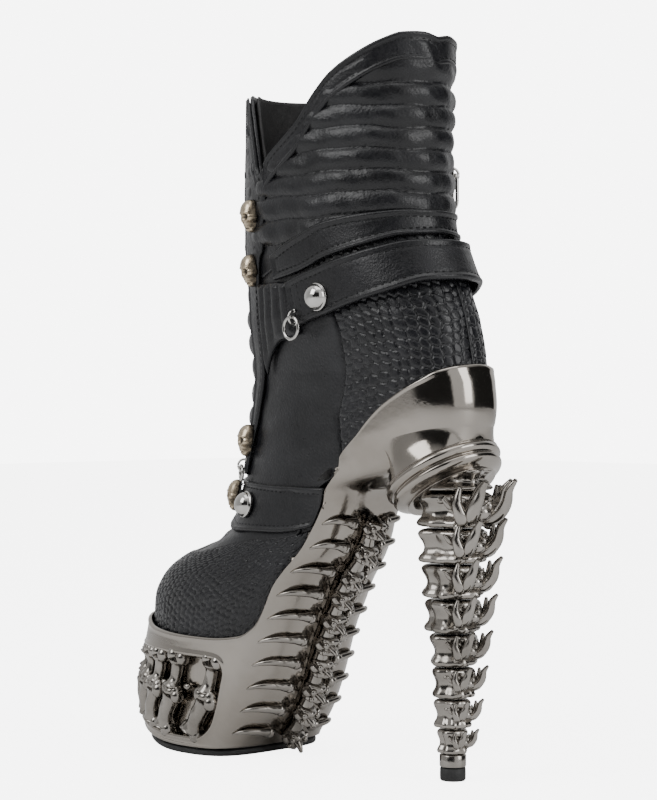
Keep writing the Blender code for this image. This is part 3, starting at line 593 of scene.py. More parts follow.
# ---------------------------------------------------------------------------------------------
# Materials
# ---------------------------------------------------------------------------------------------
class Nodes:
    """Short calls that build a node tree."""

    def __init__(self, tree, where):
        self.tree = tree
        self.where = self.node("ShaderNodeTexCoord").outputs[where]

    def node(self, kind, **settings):
        made = self.tree.nodes.new(kind)
        for key, value in settings.items():
            setattr(made, key, value)
        return made

    def link(self, source, target):
        self.tree.links.new(source, target)

    def noise(self, scale, detail=3.0, rough=0.5):
        made = self.node("ShaderNodeTexNoise")
        self.link(self.where, made.inputs["Vector"])
        made.inputs["Scale"].default_value = scale
        made.inputs["Detail"].default_value = detail
        made.inputs["Roughness"].default_value = rough
        return made.outputs["Fac"]

    def grain(self, scale, feature="F1"):
        made = self.node("ShaderNodeTexVoronoi", feature=feature)
        self.link(self.where, made.inputs["Vector"])
        made.inputs["Scale"].default_value = scale
        return made.outputs["Distance"]

    def ramp(self, source, low, high, first, second):
        """Maps source from low..high to first..second."""
        made = self.node("ShaderNodeMapRange")
        self.link(source, made.inputs["Value"])
        for title, value in (("From Min", low), ("From Max", high), ("To Min", first),
                             ("To Max", second)):
            made.inputs[title].default_value = value
        return made.outputs["Result"]

    def mix(self, factor, first, second):
        """Colour between two colours, or sources of colour."""
        made = self.node("ShaderNodeMix", data_type="RGBA")
        self.link(factor, made.inputs["Factor"])
        for socket, value in ((made.inputs[6], first), (made.inputs[7], second)):
            if isinstance(value, tuple):
                socket.default_value = (*value, 1.0)
            else:
                self.link(value, socket)
        return made.outputs[2]

    def attribute(self, name):
        return self.node("ShaderNodeAttribute", attribute_name=name).outputs["Fac"]

    def bump(self, source, distance, strength=1.0, after=None):
        made = self.node("ShaderNodeBump")
        made.inputs["Distance"].default_value = distance
        made.inputs["Strength"].default_value = strength
        self.link(source, made.inputs["Height"])
        if after is not None:
            self.link(after, made.inputs["Normal"])
        return made.outputs["Normal"]


class Paint(Nodes):
    """A material whose Principled shader is fed by short calls."""

    def __init__(self, name, metallic=0.0):
        self.material = bpy.data.materials.new(name)
        self.material.use_nodes = True
        super().__init__(self.material.node_tree, "Object")
        self.shader = self.tree.nodes["Principled BSDF"]
        self.fix("Metallic", metallic)

    def fix(self, socket, value):
        self.shader.inputs[socket].default_value = value

    def feed(self, socket, source):
        self.link(source, self.shader.inputs[socket])


def leather_material(name, dark, worn, rough=(0.27, 0.43), grain=900.0, depth=0.00022):
    """Black leather: pebbled grain, creases, and slow colour change between dark and worn patches."""
    made = Paint(name)
    patches = made.noise(38.0, 4.0, 0.55)
    fine = made.noise(420.0, 3.0, 0.6)
    colour = made.mix(made.ramp(patches, 0.35, 0.7, 0.0, 1.0), dark, worn)
    made.feed("Base Color", colour)
    made.feed("Roughness", made.ramp(fine, 0.3, 0.7, *rough))
    made.fix("Specular IOR Level", 0.42)
    pebble = made.bump(made.grain(grain, "SMOOTH_F1"), depth, 0.55)
    crease = made.bump(made.noise(160.0, 5.0, 0.65), 0.0005, 0.35, pebble)
    made.feed("Normal", crease)
    return made.material


def chrome_material(name, base, stain, rough=(0.07, 0.2)):
    """Dark plated metal: cast unevenness, faint brushing marks and patches of tarnish."""
    made = Paint(name, metallic=1.0)
    patches = made.noise(26.0, 5.0, 0.6)
    specks = made.noise(700.0, 2.0, 0.5)
    colour = made.mix(made.ramp(patches, 0.42, 0.72, 0.0, 1.0), base, stain)
    made.feed("Base Color", colour)
    made.feed("Roughness", made.ramp(patches, 0.3, 0.75, *rough))
    cast = made.bump(made.noise(90.0, 3.0, 0.5), 0.0006, 0.16)
    made.feed("Normal", made.bump(specks, 0.00006, 0.4, cast))
    return made.material


def pewter_material(name, high, low):
    """Antique pewter: bright worn heights over a dark patina in the hollows."""
    made = Paint(name, metallic=1.0)
    hollow = made.attribute("hollow")
    spots = made.noise(520.0, 4.0, 0.6)
    shade = made.node("ShaderNodeMath", operation="ADD")
    made.link(hollow, shade.inputs[0])
    made.link(made.ramp(spots, 0.35, 0.75, -0.18, 0.3), shade.inputs[1])
    made.feed("Base Color", made.mix(made.ramp(shade.outputs[0], 0.0, 0.9, 0.0, 1.0), high, low))
    made.feed("Roughness", made.ramp(shade.outputs[0], 0.0, 1.0, 0.26, 0.6))
    made.feed("Normal", made.bump(spots, 0.00012, 0.6))
    return made.material


def woven_material(name, colour, other, pitch=1600.0):
    """Woven tape or twisted thread."""
    made = Paint(name)
    weave = made.node("ShaderNodeTexWave", wave_type="BANDS", bands_direction="DIAGONAL")
    made.link(made.where, weave.inputs["Vector"])
    weave.inputs["Scale"].default_value = pitch
    weave.inputs["Distortion"].default_value = 1.5
    made.feed("Base Color", made.mix(weave.outputs["Fac"], colour, other))
    made.fix("Roughness", 0.85)
    made.feed("Normal", made.bump(weave.outputs["Fac"], 0.00015, 0.7))
    return made.material


def soft_material(name, colour, other, grain, rough=0.7, depth=0.0003):
    """Rubber, board, foam or suede lining: mottled, with a fine matt grain."""
    made = Paint(name)
    made.feed("Base Color", made.mix(made.noise(120.0, 5.0, 0.6), colour, other))
    made.feed("Roughness", made.ramp(made.noise(300.0, 2.0), 0.3, 0.7, rough - 0.1, rough + 0.1))
    made.feed("Normal", made.bump(made.noise(grain, 4.0, 0.7), depth, 0.6))
    return made.material


MATERIALS = {
    "leather": leather_material("black_leather", (0.0036, 0.0037, 0.0047), (0.0095, 0.0098, 0.012)),
    "strap_leather": leather_material("strap_leather", (0.0036, 0.0037, 0.0047),
                                      (0.009, 0.0092, 0.0112), (0.28, 0.44), 1100.0, 0.00018),
    "scale_leather": leather_material("scale_leather", (0.0042, 0.0043, 0.0056),
                                      (0.0125, 0.0128, 0.0155), (0.22, 0.38), 1500.0, 0.0001),
    "thread": woven_material("thread", (0.003, 0.003, 0.0035), (0.012, 0.012, 0.014)),
    "tape": woven_material("tape", (0.008, 0.008, 0.009), (0.02, 0.02, 0.022), 1200.0),
    "plated": chrome_material("gunmetal_chrome", (0.335, 0.31, 0.28), (0.27, 0.245, 0.215)),
    "bone": chrome_material("cast_chrome", (0.33, 0.31, 0.285), (0.20, 0.185, 0.165),
                            (0.12, 0.28)),
    "steel": chrome_material("polished_steel", (0.55, 0.54, 0.52), (0.45, 0.44, 0.42),
                             (0.05, 0.14)),
    "recess": soft_material("dark_recess", (0.006, 0.006, 0.006), (0.015, 0.014, 0.013), 800.0,
                            0.5),
    "pewter": pewter_material("antique_pewter", (0.50, 0.42, 0.31), (0.045, 0.038, 0.03)),
    "rubber": soft_material("sole_rubber", (0.008, 0.008, 0.008), (0.02, 0.02, 0.02), 1400.0, 0.6),
    "lining": soft_material("lining_leather", (0.012, 0.012, 0.013), (0.03, 0.029, 0.028), 900.0,
                            0.75),
    "board": soft_material("fibre_board", (0.16, 0.11, 0.07), (0.25, 0.18, 0.12), 700.0, 0.85),
    "foam": soft_material("filler_foam", (0.10, 0.09, 0.08), (0.18, 0.17, 0.15), 1300.0, 0.9),
}


# ---------------------------------------------------------------------------------------------
# Upper
# ---------------------------------------------------------------------------------------------
SIDES = (("outer", 1.0), ("inner", -1.0))


def inverse(points):
    """The angle at a height, for an edge that climbs with the angle."""
    table = [(height, angle) for angle, height in points]
    table.sort()
    return lambda height: smooth_curve(table, height)


def finished(made, body, slot, *nodes):
    """Rides made on a body, and hides the CAD nodes it stands for; slot is not used."""
    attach(made, body)
    if nodes:
        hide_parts(*nodes)
    return made


def root_piece(made, slot, *nodes):
    """As finished, for a piece that does not move."""
    return finished(made, "root", slot, *nodes)


def under_shell(height, angle):
    """1 where the plated cup covers the leather, 0 in the open."""
    sweep = smooth_curve(SHELL_SWEEP, height)
    place = fold(angle) - sweep
    place = np.where(place > 130.0, (fold(angle) - 3.6 * sweep) / (1.0 - sweep / 50.0), place)
    return smoothstep(3.0, 16.0, smooth_curve(SHELL_TOP, np.clip(place, 0, 180)) - height)


def counter_level(height, angle):
    """The counter lies over the quarter and sinks a little where the cup covers it."""
    return 0.35 - 1.1 * under_shell(height, angle)


def under_vamp_and_padding(height, angle):
    """The quarters dip under the vamp and the padding that are sewn over them."""
    toe = 1.0 - smoothstep(-2.0, -0.2, height - smooth_curve(VAMP_SEAM, fold(angle)))
    top = smoothstep(0.2, 2.0, height - smooth_curve(SHAFT_SEAM, fold(angle)))
    return -SEAM_DIP * np.maximum(toe, top)


def under_neighbours(height, angle):
    """The outer quarter dips under the counter too."""
    rear = smoothstep(-1.5, 0.8, fold(angle) - smooth_curve(COUNTER_EDGE, height))
    return np.minimum(under_vamp_and_padding(height, angle), -SEAM_DIP * rear)


def upright_edge(angle):
    """An upright side edge for level_grid."""
    return lambda height: np.full_like(height, angle)


def sewn(name, node, grid, material="leather", slot="leather", **shape):
    """A sheet piece on the fixed body that stands for one CAD node."""
    return root_piece(sheet_piece(name, grid, MATERIALS[material], **shape), slot, node)


def make_leather():
    """Vamp, quarters and counters."""
    scaly = {"material": "scale_leather", "slot": "scale_leather"}
    front, rear = upright_edge(41.6), upright_edge(179.75)
    sewn("toe_leather", "vamp",
         upright_grid(-131.5, 131.5, edge(FEATHER, -3), edge(VAMP_SEAM), 0.8),
         relief=scale_relief(3.9, 3.3, 3, 0.6), **scaly)
    sewn("quarter_leather_outer", "quarter_outer",
         level_grid(99.0, 251.0, front, lambda z: smooth_curve(QUARTER_REAR, z), 0.9),
         relief=plain_relief(11), offset=under_neighbours)
    sewn("quarter_leather_inner", "quarter_inner",
         level_grid(99.0, 254.0, front, upright_edge(128.4), 0.9),
         relief=plain_relief(12), offset=under_vamp_and_padding, mirror=True)
    sewn("counter_leather_outer", "counter_outer",
         level_grid(141.0, 257.0, lambda z: smooth_curve(COUNTER_EDGE, z), rear, 0.6),
         offset=counter_level, relief=scale_relief(5.4, 5.2, 7, 0.8), **scaly)
    sewn("counter_leather_inner", "counter_inner",
         level_grid(148.5, 257.0, upright_edge(135.4), rear, 0.6),
         relief=scale_relief(5.4, 5.2, 9, 0.8), mirror=True, **scaly)


def make_padding():
    """The stuffed panels of the shaft and the shin."""
    low, top = edge(SHAFT_SEAM, 0.5), edge(TOP_EDGE)
    outer = sewn("shaft_padding_outer", "shaft_panel_outer",
                 upright_grid(41.0, 224.6, low, top, 0.9, edge(SHAFT_SEAM)),
                 relief=quilt_relief, thickness=PADDING_WALL)
    inner = sewn("shaft_padding_inner", "shaft_panel_inner",
                 upright_grid(41.0, 128.6, low, top, 0.9),
                 relief=quilt_relief, thickness=PADDING_WALL, mirror=True)
    front = sewn("shin_padding", "front_panel",
                 upright_grid(-41.5, 41.5, edge(VAMP_SEAM, 0.3), top, 0.9),
                 relief=rib_relief, thickness=PADDING_WALL)


def placket_grid(spacing=1.0):
    """The band beside the front panel: upright front edge, rear edge that sweeps back."""
    rear = inverse(PLACKET_LOW[1:])
    share = np.linspace(0, 1, int(190 / spacing))[None, :]
    across = np.linspace(0, 1, int(20 / spacing))[:, None]
    low, high, front = 138.5, 286.0, 36.0
    back_edge = rear(low + share * (high - low))
    angle = front + (back_edge - front) * across
    top = smooth_curve(TOP_EDGE, angle) - 0.5
    return low + (top - low) * share, angle


def instep_base(height, angle):
    """The instep strap's ends are cut along the shell's edge."""
    return last_point(height, angle * (128.5 + smooth_curve(SHELL_SWEEP, height)) / 129.0)


def instep_level(height, angle):
    """The instep strap is pressed in a little where its ring lies."""
    reach = np.hypot(height - 136.0, (fold(angle) - 41.0) * 0.45)
    return 2.0 - 0.8 * (1.0 - smoothstep(4.5, 9.5, reach))


def binding_level(height, angle):
    """The inner binding thins towards the zip, so that the pull clears it."""
    return 2.6 - 1.0 * smoothstep(116.0, 122.0, angle)


def strap_level(lift):
    """The harness strap stands further off the upper towards the back."""
    return lambda height, angle: lift + 2.5 * np.maximum(fold(angle) - 90.0, 0.0) / 90.0


def make_straps():
    """Plackets, sewn bands, gathered pieces, the ankle strap and the instep strap."""
    for side, sign in SIDES:
        strap = {"material": "strap_leather", "mirror": sign < 0}
        last = 128.2 if sign < 0 else 224.2
        sewn("placket_leather_" + side, "placket_" + side, placket_grid(), offset=2.0,
             thickness=1.6, relief=strap_relief(0.4, 2.2, 21), **strap)
        sewn("collar_binding_" + side, "collar_band_" + side,
             upright_grid(69.5, last, edge(TOP_EDGE, -12.8), edge(TOP_EDGE, 0.6), 1.0,
                          edge(TOP_EDGE)),
             offset=2.3, thickness=2.0, relief=strap_relief(0.7, 2.4, 22), **strap)
        sewn("ankle_binding_" + side, "ankle_band_" + side,
             upright_grid(69.0, last, edge(BAND_LOW), edge(BAND_TOP), 1.0, edge(BAND_TOP)),
             offset=binding_level if sign < 0 else 2.6, thickness=1.6,
             relief=strap_relief(0.9, 2.6, 23), **strap)
        sewn("pleated_strap_" + side, "gathered_strap_" + side,
             upright_grid(53.6, 77.2, edge(GATHER_LOW), edge(GATHER_TOP), 0.8),
             offset=3.2, thickness=1.8, relief=pleat_relief, **strap)
    sewn("harness_strap", "ankle_strap",
         upright_grid(77.0, 283.0, edge(STRAP_LOW), edge(STRAP_TOP), 1.0, edge(STRAP_TOP)),
         "strap_leather", offset=strap_level(4.3), thickness=2.0,
         relief=strap_relief(0.6, 2.6, 24))
    sewn("instep_band", "instep_strap",
         upright_grid(-129, 129, edge(INSTEP_LOW), edge(INSTEP_TOP), 1.0), "strap_leather",
         offset=instep_level, thickness=1.4, relief=strap_relief(0.5, 2.6, 25), base=instep_base)


def spread(stops, walked, values):
    """Values along a line, read at the stops."""
    return np.stack([np.interp(stops, walked, values[:, k]) for k in range(3)], -1)


def stitch_line(builder, line, offset, pitch=3.1, length=2.1, radius=0.32, mirror=False):
    """Thread stitches along (height, angle) points, lying on the surface at an offset."""
    line = np.asarray(line, float)
    places, normals = surface(line[:, 0], line[:, 1])
    walked = walked_along(places)
    stops = np.arange(0.5 * pitch, walked[-1], pitch)
    level = skin_depth(line[:, 0]) + (offset(line[:, 0], line[:, 1]) if callable(offset) else offset)
    lifted = places + normals * level[..., None]
    ends = [spread(stops + shift, walked, lifted) for shift in (-0.5 * length, 0.0, 0.5 * length)]
    facing = unit(spread(stops, walked, normals))
    for first, centre, last, normal in zip(*ends, facing):
        along = unit(last - first)
        across = np.cross(normal, along)
        if mirror:
            along, normal, centre = along * MIRRORED, normal * MIRRORED, centre * MIRRORED
            across = -across * MIRRORED
        blob(builder, centre, (0.5 * length, radius, radius), np.array((along, across, normal)), 5)


def level_line(function, start, end, count=240):
    """Points (height, angle) along an edge."""
    angles = np.linspace(start, end, count)
    return np.stack([function(angles), angles], axis=-1)


def cross_line(angle, low, high, count=40):
    """Points (height, angle) straight up at one angle."""
    heights = np.linspace(low, high, count)
    return np.stack([heights, np.full(count, angle)], axis=-1)


def stitch_bands(builder, far, mirror):
    """Both edges of the collar band and of the ankle band."""
    for function, offset in ((edge(TOP_EDGE, -9.9), 2.1), (edge(TOP_EDGE, -2.8), 2.1),
                             (edge(BAND_LOW, 3.3), 2.5), (edge(BAND_TOP, -3.3), 2.5)):
        stitch_line(builder, level_line(function, 72, far, 500), offset, mirror=mirror)


def stitch_harness(builder, far, mirror):
    """The edges and the fixed ends of the ankle strap and the instep strap."""
    on_strap, on_instep = strap_level(4.15), 1.9
    for function in (edge(STRAP_LOW, 3.1), edge(STRAP_TOP, -3.1)):
        stitch_line(builder, level_line(function, 80.5, 179.5), on_strap, mirror=mirror)
    for angle in (80.0, 83.6):
        low = float(smooth_curve(STRAP_LOW, angle)) + 3.6
        top = float(smooth_curve(STRAP_TOP, angle)) - 3.6
        stitch_line(builder, cross_line(angle, low, top), on_strap, mirror=mirror)
    for function in (edge(INSTEP_LOW, 3.0), edge(INSTEP_TOP, -3.0)):
        stitch_line(builder, level_line(function, 1.0, 128.0), on_instep, mirror=mirror)
    for angle in (37.0, 40.5):
        stitch_line(builder, cross_line(angle, 119.5, 133.0), on_instep, mirror=mirror)


def stitch_quilt(builder, far, mirror):
    """The seams between the padded channels, and both edges of the placket."""
    for seam in QUILT_SEAMS:
        angles = np.linspace(42, far, 800)
        inside = angles[smooth_curve(TOP_EDGE, fold(angles)) - 14.0 > seam]
        above = inside[smooth_curve(BAND_TOP, fold(inside)) < seam]
        for run in np.split(above, np.where(np.diff(above) > 0.5)[0] + 1):
            if len(run) > 12:
                line = np.stack([np.full(len(run), seam), run], axis=-1)
                stitch_line(builder, line, 0.1, pitch=3.0, radius=0.26, mirror=mirror)
    heights, angles = placket_grid()
    for column in (2, -4):
        line = np.stack([heights[column], angles[column]], axis=-1)
        stitch_line(builder, line, 1.9, mirror=mirror)


def make_stitching():
    """Every stitched line, as three pieces of thread work for each side."""
    for side, sign in SIDES:
        mirror = sign < 0
        far = 127.4 if mirror else 223.2
        for title, stitch in (("band", stitch_bands), ("harness", stitch_harness),
                              ("quilt", stitch_quilt)):
            builder = Builder()
            stitch(builder, far, mirror)
            made = builder.make("%s_stitches_%s" % (title, side), MATERIALS["thread"])
            root_piece(made, "leather")


def make_back_seam():
    """The upright seam up the heel, a rolled ridge between the two counters."""
    builder = Builder()
    heights = np.linspace(186.0, 254.0, 90)
    places, normals = surface(heights, np.full(90, 180.0))
    path = places + normals * (skin_depth(heights) + 0.1)[:, None]
    sweep(builder, path, 0.9 + 0.08 * np.sin(heights * 1.9), normals, 0.7, 10)
    root_piece(builder.make("back_seam", MATERIALS["strap_leather"]), "leather")


def lining_top(angle):
    """The lining ends just under the top edge."""
    return smooth_curve(TOP_EDGE, fold(angle)) - 0.4


def lining_low(angle):
    """The lining's low edge, averaged over 20 degrees so that it climbs gently at the heel."""
    total = 0.0
    for turn in (-10.0, -5.0, 0.0, 5.0, 10.0):
        place = fold(angle + turn)
        total = total + np.maximum(smooth_curve(VAMP_SEAM, place) + 0.6,
                                   smooth_curve(FEATHER, place) + 5.0)
    return total / 5.0


def lining_level(height, angle):
    """The lining lies deeper along its low edge, behind the plated cup."""
    return -3.2 - 1.2 * (1.0 - smoothstep(0.0, 8.0, height - lining_low(angle)))


def lining_depth(height):
    """As skin_depth, but deeper where the foot bends over the instep."""
    bend = smooth_curve(((84, 0.0), (103, 1.5), (128, 1.5), (152, 0.0)), height)
    return skin_depth(height) - bend


def make_lining():
    """Soft lining of the shaft and of the toe."""
    soft = {"material": "lining", "slot": "lining", "thickness": 1.2, "depth": lining_depth}
    sewn("shaft_lining", "lining", upright_grid(0, 360, lining_low, lining_top, 1.6, lining_low),
         offset=lining_level, relief=plain_relief(31, 0.3), closed=True, **soft)
    sewn("toe_lining", "vamp_lining",
         upright_grid(-131, 131, edge(FEATHER, 1), edge(VAMP_SEAM), 2.0),
         offset=-3.2, relief=plain_relief(32, 0.3), **soft)


# ---------------------------------------------------------------------------------------------
# Sole unit
# ---------------------------------------------------------------------------------------------
TOE_STOPS = (6.0, 19.0, 32.0, 44.0, 56.0, 69.0, 84.0, 100.0)
WINDOW_ANGLE = 112.0
WINDOW_LOW = 9.0
WINDOW_HIGH = 48.0
SHELL_WALL = 1.6
SHELL_LOW = 3.4


def sole_base(height, angle):
    """The last with its toe curled up."""
    return sprung(last_point(height, angle))


def cup_angle(height, angle):
    """The angle moved forward where the heel cup wraps round the sides."""
    shift = smooth_curve(SHELL_SWEEP, height) * np.minimum((180.0 - fold(angle)) / 50.0, 1.0)
    return np.where(np.asarray(angle) % 360.0 <= 180.0, angle + shift, angle - shift)


def cup_base(height, angle):
    """The surface that the plated shell follows."""
    return sprung(last_point(height, cup_angle(height, angle)))


def no_depth(height):
    """For pieces that lie on the last itself."""
    return np.zeros_like(height)


def window_mask(height, angle):
    """1 inside the platform's window, 0 outside, with rounded corners."""
    reach = 0.72 * (WINDOW_ANGLE - fold(angle))
    up = WINDOW_HIGH + 1.5 * np.sin(np.radians(fold(angle) * 1.5)) - height
    down = height - WINDOW_LOW
    corner = 9.0
    x = np.clip(corner - reach, 0.0, None)
    y = np.clip(corner - np.minimum(up, down), 0.0, None)
    return corner - np.hypot(x, y)


def shell_relief(u, v, height, angle, rim):
    """The sunk window with its lip, and the rolled upper edge."""
    inside = window_mask(height, angle)
    sunk = -6.0 * smoothstep(-0.2, 1.6, inside)
    lip = 0.5 * np.exp(-((inside + 1.2) / 1.0) ** 2)
    rolled = 0.35 * np.exp(-((rim - 1.4) / 1.1) ** 2)
    return sunk + lip + rolled


def cup_skirt(builder):
    """Flares the cup's foot out to the collar's upper rim, all the way round."""
    turn = np.linspace(0, FULL_TURN, 160, endpoint=False)
    axes = collar_axes()
    local = np.stack([27.2 * np.cos(turn), 27.2 * np.sin(turn), np.full(160, -0.3)], axis=-1)
    rim = local @ axes + COLLAR_CENTRE
    height = rim[:, 2] + 6.5 + 8.5 * np.abs(np.cos(turn)) ** 1.5
    half = smooth_curve(STATIONS[:, (0, 3)], height)
    power = smooth_curve(STATIONS[:, (0, 6)], height)
    sine = np.clip(np.abs(rim[:, 0]) / half, 0, 0.97) ** (power / 2.0)
    angle = 180.0 - np.sign(rim[:, 0]) * np.degrees(np.arcsin(sine))
    start, normal = surface(height, angle)
    start = start - normal * 0.35
    down = unit(np.cross(normal, np.cross(rim - start, normal)))
    handle = np.linalg.norm(rim - start, axis=-1, keepdims=True) * 0.5
    share = np.linspace(0, 1, 16)[None, :, None]
    bend = start[:, None] + (down * handle)[:, None]
    points = ((1 - share) ** 2 * start[:, None] + 2 * share * (1 - share) * bend
              + share**2 * rim[:, None])
    builder.add(points.reshape(-1, 3), grid_faces(160, 16, closed=True, flip=True))


def make_shell():
    """The plated platform, arch and heel cup in one shell, with the flare at the cup's foot."""
    probe = np.linspace(0, 360, 3601)
    line = smooth_curve(SHELL_TOP, fold(probe))
    places = cup_base(line, probe)
    walked = walked_along(places)
    angles = np.interp(np.linspace(0, walked[-1], int(walked[-1] / 0.9)), walked, probe)
    share = np.linspace(0, 1, 170)
    top = smooth_curve(SHELL_TOP, fold(angles))
    height = SHELL_LOW + (top[:, None] - SHELL_LOW) * share
    grid = (height, np.broadcast_to(angles[:, None], height.shape))
    shell = sheet_piece("chrome_shell", grid, MATERIALS["plated"], 0.0, SHELL_WALL, shell_relief,
                        base=cup_base, closed=True, round_edge=1.6, depth=no_depth)
    root_piece(shell, "plated", "platform_shell")
    skirt = Builder()
    cup_skirt(skirt)
    root_piece(skirt.make("cup_skirt", MATERIALS["plated"]), "plated")


def bone(builder, start, end, bow, thin, knob, seed=0):
    """A long bone between two points: a shaft bowed by a vector, with double knobs at its ends."""
    start, end, bow = (np.asarray(value, float) for value in (start, end, bow))
    middle = 0.5 * (start + end) + bow
    path = smooth_path([start, middle, end], 22)
    t = np.linspace(0, 1, 22)
    flare = np.exp(-(t / 0.16) ** 2) + np.exp(-((1 - t) / 0.16) ** 2)
    dice = random.Random(seed)
    radii = thin + (knob - thin) * flare + 0.12 * np.sin(t * 9.0 + dice.uniform(0, 6))
    sweep(builder, path, radii, sides=12)
    along = unit(end - start)
    side = unit(np.cross(along, unit(bow + 1e-6)))
    for place, way in ((start, -1.0), (end, 1.0)):
        for sign in (-1.0, 1.0):
            size = knob * dice.uniform(0.68, 0.86)
            centre = place + along * way * 0.25 * knob + side * sign * knob * 0.62
            blob(builder, centre, (size, size * 0.9, size), detail=8)


def sole_place(height, angle, offset):
    """One point, an offset out from the sole."""
    point, normal = surface(np.array([float(height)]), np.array([float(angle)]), base=sole_base)
    return point[0] + normal[0] * offset


def make_toe_bones():
    """Two rows of foot bones in the platform's window, upper short ones and lower bowed ones."""
    builder = Builder()
    for sign in (1.0, -1.0):
        for number, angle in enumerate(TOE_STOPS):
            large = 1.0 + 0.05 * number
            lean = 1.5 + 0.35 * number
            outward = surface(np.array([30.0]), np.array([sign * angle]))[1][0]
            top = sole_place(46.5, sign * (angle + 0.5), -2.7)
            joint_up = sole_place(35.0 - 0.5 * number, sign * (angle + 1.0), -1.9)
            joint_low = sole_place(31.0 - 0.5 * number, sign * (angle + 1.5), -1.7)
            foot = sole_place(12.5, sign * (angle - lean), -2.2)
            bone(builder, top, joint_up, outward * -0.8, 2.3 * large, 3.9 * large, seed=number)
            bone(builder, joint_low, foot, outward * 1.3, 3.1 * large, 4.1 * large, seed=number + 20)
            blob(builder, 0.5 * (joint_up + joint_low), (3.6 * large, 3.6 * large, 2.6 * large))
            between = sign * (angle + 6.5)
            if number < len(TOE_STOPS) - 1:
                link = sole_place(33.0, between, -3.8)
                blob(builder, link, (2.6, 2.6, 1.9))
                blob(builder, sole_place(12.5, between, -3.9), (2.6, 2.6, 1.8))
    root_piece(builder.make("foot_bones", MATERIALS["bone"]), "plated", "bone_insert")


SPINE_COUNT = 10
SPINE_START = 11.0
SPINE_PITCH = 11.6
RIB_ROOT = 9.0


def arch_frame(height):
    """Point on the middle of the shank's back face, with its outward normal."""
    point, normal = surface(np.array([float(height)]), np.array([180.0]), base=last_point)
    return point[0], normal[0]


def vertebra(builder, centre, along, out, side, size, seed):
    """A vertebra: waisted body, two side wings, and small facets round a spinous lump."""
    dice = random.Random(seed)
    tall = 4.6 * size
    shape = [(0.0, 0.5), (4.4, 0.47), (5.4, 0.36), (4.5, 0.14), (3.9, -0.05), (4.4, -0.22),
             (5.2, -0.38), (4.2, -0.48), (0.0, -0.5)]
    profile = [(radius * size, share * tall * 2.1) for radius, share in shape]
    lathe(builder, profile, centre, np.array((side, out, along)), 22,
          lambda turn, level: 1.0 + 0.10 * np.cos(3 * turn + seed) + 0.05 * np.cos(7 * turn))
    for sign in (-1.0, 1.0):
        wing = [centre + side * sign * 3.0 * size, centre + side * sign * 6.4 * size + out * 1.0,
                centre + side * sign * 8.6 * size + along * 2.0 + out * 0.2]
        sweep(builder, smooth_path(wing, 12), np.linspace(2.6, 1.3, 12) * size, sides=10)
        blob(builder, centre + side * sign * 4.6 * size + out * 3.6 * size + along * 1.6 * size,
             (1.5 * size, 1.7 * size, 1.9 * size), detail=8)
        blob(builder, centre + side * sign * 4.2 * size + out * 3.4 * size - along * 2.6 * size,
             (1.3 * size, 1.4 * size, 1.5 * size), detail=8)
    peak = [centre + out * 3.2 * size, centre + out * 6.6 * size - along * 0.8 * size,
            centre + out * (8.4 + dice.uniform(0, 1)) * size - along * 2.2 * size]
    sweep(builder, smooth_path(peak, 12), np.linspace(2.4, 1.0, 12) * size, sides=10)


def make_rib_spine():
    """Spine and ribs on the back face of the shank."""
    builder = Builder()
    for number in range(SPINE_COUNT):
        level = SPINE_START + SPINE_PITCH * number
        point, out = arch_frame(level)
        above, _ = arch_frame(level + 1.0)
        along = unit(above - point)
        side = np.cross(along, out)
        size = 0.92 + 0.02 * (number % 3)
        vertebra(builder, point + out * 5.2, along, out, side, size, number)
        for sign in (1.0, -1.0):
            route = []
            for t in np.linspace(0, 1, 9):
                height = level + 1.5 + 3.0 * math.sin(t * 2.0) - 3.5 * t * t
                angle = 180.0 - sign * (RIB_ROOT + (37.0 - 0.9 * abs(number - 4)) * t)
                place, normal = surface(np.array([height]), np.array([angle]))
                lift = 1.9 * math.sin(math.pi * min(t * 0.85 + 0.2, 1.0)) + 0.3
                route.append(place[0] + normal[0] * lift)
            path = smooth_path(route, 36)
            t = np.linspace(0, 1, 36)
            thick = (2.15 - 0.95 * t) * np.sqrt(np.clip(1.02 - t**4, 0.03, 1.0))
            thick = thick + 0.5 * np.exp(-((t - 0.08) / 0.07) ** 2)
            normals = surface(np.full(36, level), 180.0 - sign * (RIB_ROOT + 37.0 * t))[1]
            sweep(builder, path, thick, normals, 0.85, 12)
            blob(builder, route[0], (3.1, 2.7, 2.9))
    path = np.array([arch_frame(z)[0] + arch_frame(z)[1] * 3.2 for z in np.linspace(8, 120, 60)])
    sweep(builder, path, 3.6 + 0.5 * np.sin(np.linspace(0, 60, 60)), sides=12)
    root_piece(builder.make("shank_spine", MATERIALS["bone"]), "plated", "rib_spine")


HEEL_Y = 84.8
FERRULE_TOP = 12.0
HEEL_TOP = 150.0
HEEL_RADIUS = 6.4
HEEL_SWELL = 12.6
VERTEBRAE = 9
COLLAR_TILT = math.radians(32.0)
COLLAR_CENTRE = np.array((0.0, 77.8, 143.0))
COLLAR_DEPTH = 12.0


def collar_axes():
    """Rows: the collar's side, forward-down and upward directions."""
    cosine, sine = math.cos(COLLAR_TILT), math.sin(COLLAR_TILT)
    return np.array(((1.0, 0.0, 0.0), (0.0, cosine, sine), (0.0, -sine, cosine)))


def collar_surface_height(y):
    """Height at y of the collar's underside."""
    axes = collar_axes()
    origin = COLLAR_CENTRE - axes[2] * (COLLAR_DEPTH + 0.4)
    return origin[2] - axes[2][1] / axes[2][2] * (y - origin[1])


